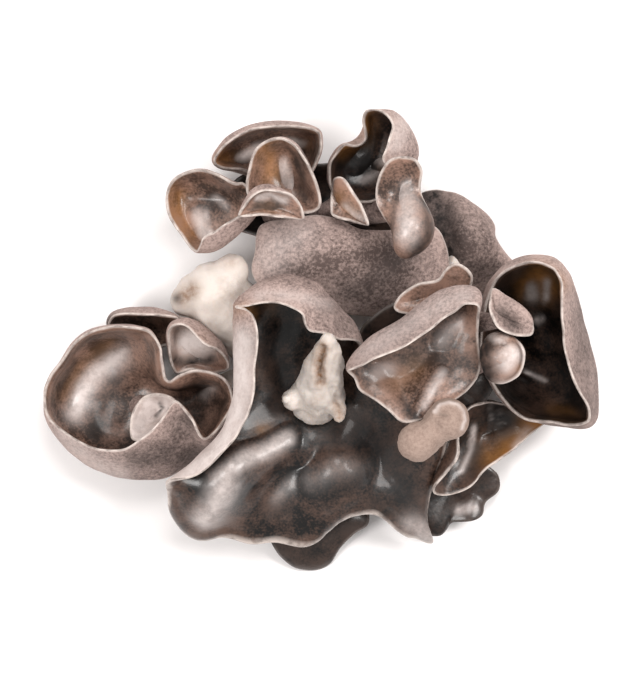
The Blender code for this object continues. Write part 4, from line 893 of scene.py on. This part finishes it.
def sheet_rings(name, grain, reach):
    """An ear's heart, the points of its sheet by ring and column, and how far out each ring is.

    Each column is a parabola from the heart over its belly to its rim. Towards the heart the
    rings lose their folds, and near it their lean, so that the sheet is smooth there.
    """
    heart, *table = EARS[name]
    heart, table = np.array(heart, float), np.array(table, float)
    rim_points, belly_points = table[:, :3], table[:, 3:]
    steps = max(2, round(round_length(rim_points) / grain / len(table)))
    rims = loop_through(rim_points, steps)
    bellies = loop_through(belly_points, steps)
    low = np.linalg.norm(bellies - heart, axis=1)
    high = np.linalg.norm(rims - bellies, axis=1)
    m = np.clip(low / (low + high), *BELLY_AT)[:, None]
    lean = (bellies / (m * (1 - m)) - rims * m / (1 - m) - heart * (1 + m) / m).mean(axis=0)
    waves = np.arange(len(rims) // 2 + 1)[:, None]
    shares = np.linspace(0, 1, max(FEWEST_RINGS, round((low + high).mean() / grain)) + 1)[1:]
    shares[-1] = reach
    rings = []
    for t in shares:
        ring = (heart * ((t - m) * (t - 1) / m) + bellies * (t * (t - 1) / (m * (m - 1)))
                + rims * (t * (t - m) / (1 - m)))
        fade = np.exp(-FADE * (math.tau * waves * (1 - t) / len(table)) ** 2)
        if t < CORE:
            fade[2:] *= (t / CORE) ** (waves[2:] - 1)
            ring = ring - lean * t * (1 - t / CORE) ** 2
        rings.append(np.fft.irfft(np.fft.rfft(ring, axis=0) * fade, len(rims), axis=0))
    return heart, np.array(rings), shares


def from_path(points, path):
    """How far each point lies from a spot or a path over (x, y)."""
    flat = points[:, :2]
    nearest = np.full(len(points), np.inf)
    for a, b in zip(path, path[1:] or path):
        a, b = np.array(a, float), np.array(b, float)
        share = np.clip((flat - a) @ (b - a) / max((b - a) @ (b - a), 1e-9), 0, 1)
        away = np.linalg.norm(flat - a - share[:, None] * (b - a), axis=1)
        nearest = np.minimum(nearest, away)
    return nearest


def paint(points, table):
    """The strength of a painted tint at each point, from 0 to 1."""
    strength = np.zeros(len(points))
    for width, most, *path in table:
        away = from_path(points, path) / width
        strength = np.maximum(strength, most * np.exp(-(away**2)))
    return strength


def folded(points, table):
    """How high the ridges and hollows drawn in a table stand at each point."""
    heights = np.zeros(len(points))
    for width, height, *path in table:
        away = np.minimum(1, from_path(points, path) / (2 * width))
        heights += height * (1 + np.cos(math.pi * away)) / 2
    return heights


def relief(name, points, turns, reach_share, to_rim, around):
    """How high each point of an ear's sheet stands over its plain shape, in millimetres.

    Soft ripples in two sizes grow higher towards the rim, and fine pleats run out to it.
    """
    sizes = bpy.context.scene.wood_ear_sizes
    long = sizes.ripple_length / MM
    seed = sum(name.encode())
    ring_size = around / math.tau / (sizes.pleat_width / MM)
    heights = np.empty(len(points))
    for i, (point, turn, share, depth) in enumerate(zip(points, turns, reach_share, to_rim)):
        place = Vector(point)
        wave = noise.noise(place / long + Vector((seed, 0, 0)))
        wave += SMALL_HEIGHT * noise.noise(place / (SMALL_LENGTH * long) + Vector((0, seed, 0)))
        circle = Vector((ring_size * math.cos(turn), ring_size * math.sin(turn), depth / PLEAT_RUN))
        pleat = noise.noise(circle + Vector((0, 0, seed)))
        ripple = wave * (CALM + (1 - CALM) * share) * sizes.ripple
        heights[i] = (ripple + pleat * share**2 * sizes.pleat) / MM
    return heights + folded(points, FOLDS.get(name, ()))


def write_attribute(data, name, values):
    """Give each point of a mesh its value of an attribute."""
    values = values.astype(np.float32)
    data.attributes.new(name, "FLOAT", "POINT").data.foreach_set("value", values)


def paint_tints(data, name, points):
    """Write the tints that the tables paint on a piece."""
    for tint, table in TINTS.items():
        write_attribute(data, tint, paint(points, table.get(name, ())))


def sheet(name, grain, reach=1.0):
    """An ear's open sheet as a mesh, with its distance to the rim and its tints as attributes."""
    heart, rings, shares = sheet_rings(name, grain, reach)
    count, columns = rings.shape[:2]
    points = np.vstack([heart[None], rings.reshape(-1, 3)])
    hearts = heart[None, None].repeat(columns, axis=1)
    strips = np.linalg.norm(np.diff(rings, axis=0, prepend=hearts), axis=2)
    inward = strips[::-1].cumsum(axis=0)[::-1]
    inward = np.vstack([inward[1:], np.zeros((1, columns))])
    to_rim = np.append(inward[0].mean() + strips[0].mean(), inward.reshape(-1))
    turns = np.append(0, np.tile(np.arange(columns) * math.tau / columns, count))
    reach_share = np.append(0, np.repeat(shares, columns))
    spots = 1 + np.arange(count * columns).reshape(count, columns)
    after = np.roll(spots, -1, axis=1)
    fan = [(0, a, b) for a, b in zip(spots[0], after[0])]
    quads = np.stack([spots[:-1], spots[1:], after[1:], after[:-1]], axis=-1).reshape(-1, 4)
    data = bpy.data.meshes.new(name)
    data.from_pydata(points, [], fan + quads.tolist())
    heights = relief(name, points, turns, reach_share, to_rim, round_length(rings[-1]))
    points = points + vectors(data.vertex_normals, "vector") * heights[:, None]
    data.vertices.foreach_set("co", (points * MM).ravel())
    if name in FACE_DOWN:
        data.flip_normals()
    write_attribute(data, "to_rim", to_rim * MM)
    paint_tints(data, name, points)
    return data


def boolean(obj, operation, other):
    """Add a Boolean; the ears' tight folds touch themselves, which the exact solver can't take."""
    change = obj.modifiers.new(other.name, "BOOLEAN")
    change.operation = operation
    change.solver = "MANIFOLD"
    change.object = other


def fleshed(name, group, grain, reach=1.0, inset=0.0):
    """An ear as a closed mesh: its sheet is the velvety skin, with flesh on the glossy side.

    The flesh thins to a hem at the rim. A cutter is the same, set in a little on both sides.
    """
    sizes = bpy.context.scene.wood_ear_sizes
    data = sheet(name, grain, reach)
    obj = placed(name, data, group)
    to_rim = np.empty(len(data.vertices))
    data.attributes["to_rim"].data.foreach_get("value", to_rim)
    share = np.clip(to_rim / sizes.taper, 0, 1)
    thin = sizes.hem / sizes.sheet
    thickness = thin + (1 - thin) * share * (2 - share)
    weights = obj.vertex_groups.new(name="flesh")
    for i, weight in enumerate(thickness):
        weights.add([i], weight, "REPLACE")
    flesh = obj.modifiers.new("flesh", "SOLIDIFY")
    flesh.thickness = sizes.sheet - 2 * inset
    flesh.offset = 1 + 2 * inset / flesh.thickness
    flesh.vertex_group = "flesh"
    return obj


def tube(limb, group):
    """A limb as a closed mesh, round and as wide as the radius of each of its points."""
    curve = bpy.data.curves.new("limb", "CURVE")
    curve.dimensions = "3D"
    curve.bevel_depth = MM
    curve.bevel_resolution = 3
    curve.use_fill_caps = True
    line = curve.splines.new("POLY")
    line.points.add(len(limb) - 1)
    for spot, (point, radius) in zip(line.points, limb):
        spot.co = (*(Vector(point) * MM), 1)
        spot.radius = radius
    obj = bpy.data.objects.new("limb", curve)
    group.objects.link(obj)
    obj = applied(obj)
    mesh = bmesh.new()
    mesh.from_mesh(obj.data)
    bmesh.ops.remove_doubles(mesh, verts=mesh.verts, dist=WELD * MM)
    mesh.to_mesh(obj.data)
    mesh.free()
    return obj


def smooth_limb(limb, steps=4):
    """A limb with points added along a smooth curve through the ones it has."""
    line = [(Vector(point), radius) for point, radius in limb]
    line = [line[0]] + line + [line[-1]]
    out = []
    for four in zip(line, line[1:], line[2:], line[3:]):
        for k in range(steps):
            s = k / steps
            weights = (-s + 2 * s * s - s**3, 2 - 5 * s * s + 3 * s**3,
                       s + 4 * s * s - 3 * s**3, s**3 - s * s)
            point = sum((w * p for w, (p, _) in zip(weights, four)), Vector()) / 2
            radius = sum(w * r for w, (_, r) in zip(weights, four)) / 2
            out.append((point, max(THINNEST, radius)))
    return out + [line[-1]]


def stalk(name, group, room=0.0):
    """The stalk of an ear, from inside the flesh at its heart down to the foot."""
    sizes = bpy.context.scene.wood_ear_sizes
    top = Vector(EARS[name][0]) + Vector((0, 0, sizes.sheet / MM / 3))
    limb = smooth_limb([(top, STALK_TOP)] + STALKS[name])
    return tube([(point, radius - room) for point, radius in limb], group)


def melted(name, limbs, group, grain):
    """Limbs and the balls at their joints as one body."""
    mesh = bmesh.new()
    for limb in limbs:
        part = tube(limb, group)
        mesh.from_mesh(part.data)
        bpy.data.objects.remove(part)
        for point, radius in limb:
            place = Matrix.Translation(Vector(point) * MM)
            bmesh.ops.create_icosphere(mesh, subdivisions=3, radius=radius * MM, matrix=place)
    obj = placed(name, mesh, group)
    melt = obj.modifiers.new("melt", "REMESH")
    melt.mode = "VOXEL"
    melt.voxel_size = grain * MM
    soften = obj.modifiers.new("soften", "SMOOTH")
    soften.iterations = 8
    return applied(obj)


def cutter_group():
    """The hidden collection of cutters, made when it is first asked for."""
    if "cutters" not in bpy.data.collections:
        group = bpy.data.collections.new("cutters")
        group.hide_render = True
        bpy.context.scene.collection.children.link(group)
    return bpy.data.collections["cutters"]


def cutters_of(name):
    """The cutter of an ear and of its stalk, or of the stub, each made when first asked for."""
    group = cutter_group()
    if name + "_cutter" not in bpy.data.objects:
        if name == "stub":
            obj = melted("stub_cutter", STUB, group, CUTTER_GRAIN / 2)
        else:
            obj = applied(fleshed(name, group, CUTTER_GRAIN, REACH, INSET * MM))
        obj.name = name + "_cutter"
        if name in STALKS:
            stalk(name, group, INSET).name = name + "_stalk_cutter"
    names = (name + "_cutter", name + "_stalk_cutter")
    return [bpy.data.objects[each] for each in names if each in bpy.data.objects]


def cutters_before(name=None):
    """The cutters that a piece gives way to: the stub's and those of all ears with higher rims."""
    order = ["stub"] + sorted(EARS, key=lambda ear: -max(row[2] for row in EARS[ear][1:]))
    elders = order[: order.index(name)] if name else order
    return [cutter for elder in elders for cutter in cutters_of(elder)]


def tree_of(data):
    """The faces of a mesh, sorted for a quick test of what they meet."""
    corners = [vertex.co for vertex in data.vertices]
    return BVHTree.FromPolygons(corners, [face.vertices for face in data.polygons])


def largest_bit(data):
    """Delete all of a mesh but its loose bit of the largest area."""
    ends = np.empty(len(data.edges) * 2, int)
    data.edges.foreach_get("vertices", ends)
    a, b = ends.reshape(-1, 2).T
    label = np.arange(len(data.vertices))
    while (label[a] != label[b]).any():
        low = np.minimum(label[a], label[b])
        np.minimum.at(label, a, low)
        np.minimum.at(label, b, low)
        label = label[label]
    areas = np.empty(len(data.polygons))
    data.polygons.foreach_get("area", areas)
    first = np.array([face.vertices[0] for face in data.polygons])
    sums = np.bincount(label[first], areas, minlength=len(label))
    stray = np.flatnonzero(label != sums.argmax())
    if not len(stray):
        return
    mesh = bmesh.new()
    mesh.from_mesh(data)
    mesh.verts.ensure_lookup_table()
    bmesh.ops.delete(mesh, geom=[mesh.verts[i] for i in stray], context="VERTS")
    mesh.to_mesh(data)
    mesh.free()


def give_way(obj, cutters):
    """Cut a body clear of each cutter that it meets, and keep its largest bit."""
    own = tree_of(obj.data)
    for cutter in cutters:
        if cutter.name not in TREES:
            TREES[cutter.name] = tree_of(cutter.data)
        if own.overlap(TREES[cutter.name]):
            boolean(obj, "DIFFERENCE", cutter)
    if not obj.modifiers:
        return obj
    obj = applied(obj)
    largest_bit(obj.data)
    return obj


def piece(obj, name, node, finishes):
    """Name a piece, hold it in the CAD model's box, and give it its finishes and its place."""
    obj.name = name
    data = obj.data
    if not any(data.materials):
        data.materials.clear()
        data.materials.append(material(finishes[0]))
    data.vertices.foreach_set("co", np.clip(vectors(data.vertices), *CAD_BOX).ravel())
    data.update()
    data.shade_smooth()
    data.set_sharp_from_angle(angle=math.radians(CREASE))
    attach(obj, "root")
    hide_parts(node)


def grow_ears(kind, *names):
    """Grow ears of one kind, cut each clear of those above it, and dress them."""
    slot, *finishes = KINDS[kind]
    grain = bpy.context.scene.wood_ear_sizes.grain / MM
    own = list(dict.fromkeys(finishes))
    back, hem = (own.index(finish) for finish in finishes[1:])
    for name in names:
        obj = fleshed(name, bpy.context.scene.collection, grain)
        finer = obj.modifiers.new("finer", "SUBSURF")
        finer.levels = 1
        finer.render_levels = 1
        obj.modifiers["flesh"].material_offset = back
        obj.modifiers["flesh"].material_offset_rim = hem
        for finish in own:
            obj.data.materials.append(material(finish))
        if name in STALKS:
            root = stalk(name, cutter_group())
            faces = root.data.polygons
            for finish in own:
                root.data.materials.append(material(finish))
            faces.foreach_set("material_index", [back] * len(faces))
            far = np.full(len(root.data.vertices), FAR_FROM_RIM * MM)
            write_attribute(root.data, "to_rim", far)
            boolean(obj, "UNION", root)
            obj = applied(obj)
            bpy.data.objects.remove(root)
        else:
            obj = applied(obj)
        obj = give_way(obj, cutters_before(name))
        piece(obj, name.removeprefix("ear_") + "_ear", name, finishes)


def roughened(obj, node, height, length, stretch):
    """Push a body's points in and out by noise, and fold and paint it.

    The noise has a height and a length in millimetres, and is drawn out by a stretch along +Z.
    """
    data = obj.data
    places = vectors(data.vertices) / MM
    swell = np.array([noise.fractal(Vector((x, y, z / stretch)) / length, 0.8, 2, 3)
                      for x, y, z in places])
    swell = swell * height + folded(places, FOLDS.get(node, ()))
    moved = places + vectors(data.vertex_normals, "vector") * swell[:, None]
    data.vertices.foreach_set("co", (moved * MM).ravel())
    paint_tints(data, node, places)
    write_attribute(data, "to_rim", np.full(len(places), LIMB_TO_RIM * MM))
    data.update()


class WOODEAR_OT_cups(bpy.types.Operator):
    """Grow the cups on the left and the tall cup on the right"""

    bl_idname = "wood_ear.cups"
    bl_label = "Cups"

    def execute(self, context):
        grow_ears("brown", "ear_left_cup", "ear_left_young", "ear_left_small", "ear_left_lip")
        grow_ears("dark", "ear_right_cup")
        return {"FINISHED"}


class WOODEAR_OT_great_ear(bpy.types.Operator):
    """Grow the great black ear in the middle"""

    bl_idname = "wood_ear.great_ear"
    bl_label = "Great ear"

    def execute(self, context):
        grow_ears("great", "ear_great")
        return {"FINISHED"}


class WOODEAR_OT_front_ears(bpy.types.Operator):
    """Grow the ears that stand in front on the right"""

    bl_idname = "wood_ear.front_ears"
    bl_label = "Front ears"

    def execute(self, context):
        grow_ears("brown", "ear_front_long", "ear_front_lobe", "ear_small")
        grow_ears("flap", "ear_front_flap")
        grow_ears("wet", "ear_lower_right")
        return {"FINISHED"}


class WOODEAR_OT_top_ears(bpy.types.Operator):
    """Grow the ears of the upper left and of the crown"""

    bl_idname = "wood_ear.top_ears"
    bl_label = "Top ears"

    def execute(self, context):
        grow_ears("brown", "ear_top_left", "ear_top_back", "ear_top_arch", "ear_top_pocket",
                  "ear_crown_lobe", "ear_crown_left")
        grow_ears("dark", "ear_crown")
        return {"FINISHED"}


class WOODEAR_OT_velvety_ears(bpy.types.Operator):
    """Grow the two ears that lie face down"""

    bl_idname = "wood_ear.velvety_ears"
    bl_label = "Velvety ears"

    def execute(self, context):
        grow_ears("nap", *FACE_DOWN)
        return {"FINISHED"}


class WOODEAR_OT_under_ears(bpy.types.Operator):
    """Grow the black ears that lie under the others"""

    bl_idname = "wood_ear.under_ears"
    bl_label = "Under ears"

    def execute(self, context):
        # black all over: painted shade in the gaps under the others
        grow_ears("black", "ear_under_right", "ear_under_middle", "ear_under_long",
                  "ear_under_crown")
        return {"FINISHED"}


class WOODEAR_OT_foot(bpy.types.Operator):
    """Grow the pale foot that every ear grows from, and cut it flat"""

    bl_idname = "wood_ear.foot"
    bl_label = "Foot"

    def execute(self, context):
        obj = melted("foot_body", FOOT, context.scene.collection, FOOT_GRAIN)
        roughened(obj, "foot", height=0.35, length=4, stretch=2.5)
        mesh = bmesh.new()
        place = Matrix.Translation((0, 0, -BLOCK * MM / 2))
        bmesh.ops.create_cube(mesh, size=BLOCK * MM, matrix=place)
        ground = placed("ground", mesh, cutter_group())
        obj = give_way(obj, [ground] + cutters_before())
        piece(obj, "pale_foot", "foot", ("firm_cream_flesh",))
        return {"FINISHED"}


class WOODEAR_OT_nub(bpy.types.Operator):
    """Grow the torn nub that stands in the great ear"""

    bl_idname = "wood_ear.nub"
    bl_label = "Nub"

    def execute(self, context):
        obj = melted("nub_body", NUB, context.scene.collection, STUMP_GRAIN)
        roughened(obj, "nub", height=0.3, length=2.6, stretch=2.5)
        obj = give_way(obj, cutters_before())
        piece(obj, "torn_nub", "nub", ("firm_cream_flesh",))
        return {"FINISHED"}


class WOODEAR_OT_stub(bpy.types.Operator):
    """Grow the tan velvety stub of a torn ear"""

    bl_idname = "wood_ear.stub"
    bl_label = "Stub"

    def execute(self, context):
        obj = melted("stub_body", STUB, context.scene.collection, STUMP_GRAIN)
        roughened(obj, "stub", height=0.2, length=3, stretch=1)
        piece(obj, "velvety_stub", "stub", ("tan_velvet",))
        return {"FINISHED"}


class WOODEAR_OT_stage(bpy.types.Operator):
    """Lay the pale floor and set up the soft boxes and the camera"""

    bl_idname = "wood_ear.stage"
    bl_label = "Stage"

    def execute(self, context):
        scene = context.scene
        studio = scene.wood_ear_studio
        mesh = bmesh.new()
        bmesh.ops.create_grid(mesh, x_segments=8, y_segments=8, size=FLOOR)
        floor = placed("floor", mesh)
        paper = bpy.data.materials.new("matt_paper")
        paper.use_nodes = True
        fill(paper.node_tree, paper.node_tree.nodes["Principled BSDF"], {
            "Base Color": (*studio.paper, 1), "Roughness": 0.95, "Specular IOR Level": 0.1})
        floor.data.materials.append(paper)
        for name, azimuth, elevation, distance, size, share in SOFT_BOXES:
            lamp = bpy.data.lights.new(name, "AREA")
            lamp.shape = "DISK"
            lamp.size = size
            lamp.energy = studio.power * share
            lamp.color = studio.lamp
            box = bpy.data.objects.new(name, lamp)
            a, e = math.radians(azimuth), math.radians(elevation)
            away = Vector((math.sin(a) * math.cos(e), -math.cos(a) * math.cos(e), math.sin(e)))
            box.location = AIM * MM + away * distance
            box.rotation_mode = "QUATERNION"
            box.rotation_quaternion = away.to_track_quat("Z", "Y")
            scene.collection.objects.link(box)
        world = bpy.data.worlds.new("studio_air")
        world.use_nodes = True
        fill(world.node_tree, world.node_tree.nodes["Background"], {
            "Color": (*studio.lamp, 1), "Strength": studio.sky})
        scene.world = world
        scene.view_settings.view_transform = "Standard"
        camera = bpy.data.cameras.new("camera")
        camera.lens = studio.lens
        camera.clip_end = 10
        eye = bpy.data.objects.new("camera", camera)
        eye.location = AIM * MM + Vector((0, 0, studio.height))
        scene.collection.objects.link(eye)
        scene.camera = eye
        return {"FINISHED"}


class WOODEAR_PT_panel(bpy.types.Panel):
    """The clump's tools and settings"""

    bl_idname = "WOODEAR_PT_panel"
    bl_label = "Wood Ear Clump"
    bl_space_type = "VIEW_3D"
    bl_region_type = "UI"
    bl_category = "Wood Ear"

    def draw(self, context):
        scene = context.scene
        for operator in OPERATORS:
            self.layout.operator(operator.bl_idname)
        for group in (scene.wood_ear_sizes, scene.wood_ear_colours, scene.wood_ear_studio):
            box = self.layout.box()
            for name in group.__annotations__:
                box.prop(group, name)


OPERATORS = (
    WOODEAR_OT_cups,
    WOODEAR_OT_great_ear,
    WOODEAR_OT_front_ears,
    WOODEAR_OT_top_ears,
    WOODEAR_OT_velvety_ears,
    WOODEAR_OT_under_ears,
    WOODEAR_OT_foot,
    WOODEAR_OT_nub,
    WOODEAR_OT_stub,
    WOODEAR_OT_stage,
)
GROUPS = (WoodEarSizes, WoodEarColours, WoodEarStudio)


def register():
    for each in (*GROUPS, *OPERATORS, WOODEAR_PT_panel):
        bpy.utils.register_class(each)
    bpy.types.Scene.wood_ear_sizes = PointerProperty(type=WoodEarSizes)
    bpy.types.Scene.wood_ear_colours = PointerProperty(type=WoodEarColours)
    bpy.types.Scene.wood_ear_studio = PointerProperty(type=WoodEarStudio)


def unregister():
    del bpy.types.Scene.wood_ear_studio
    del bpy.types.Scene.wood_ear_colours
    del bpy.types.Scene.wood_ear_sizes
    for each in (WOODEAR_PT_panel, *reversed(OPERATORS), *reversed(GROUPS)):
        bpy.utils.unregister_class(each)


def main():
    """Grow the clump piece by piece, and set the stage."""
    register()
    bpy.ops.wood_ear.cups()
    bpy.ops.wood_ear.great_ear()
    bpy.ops.wood_ear.front_ears()
    bpy.ops.wood_ear.top_ears()
    bpy.ops.wood_ear.velvety_ears()
    bpy.ops.wood_ear.under_ears()
    bpy.ops.wood_ear.foot()
    bpy.ops.wood_ear.nub()
    bpy.ops.wood_ear.stub()
    bpy.ops.wood_ear.stage()
    cutters = cutter_group()
    for cutter in list(cutters.objects):
        bpy.data.objects.remove(cutter)
    bpy.data.collections.remove(cutters)


if __name__ == "__main__":
    main()
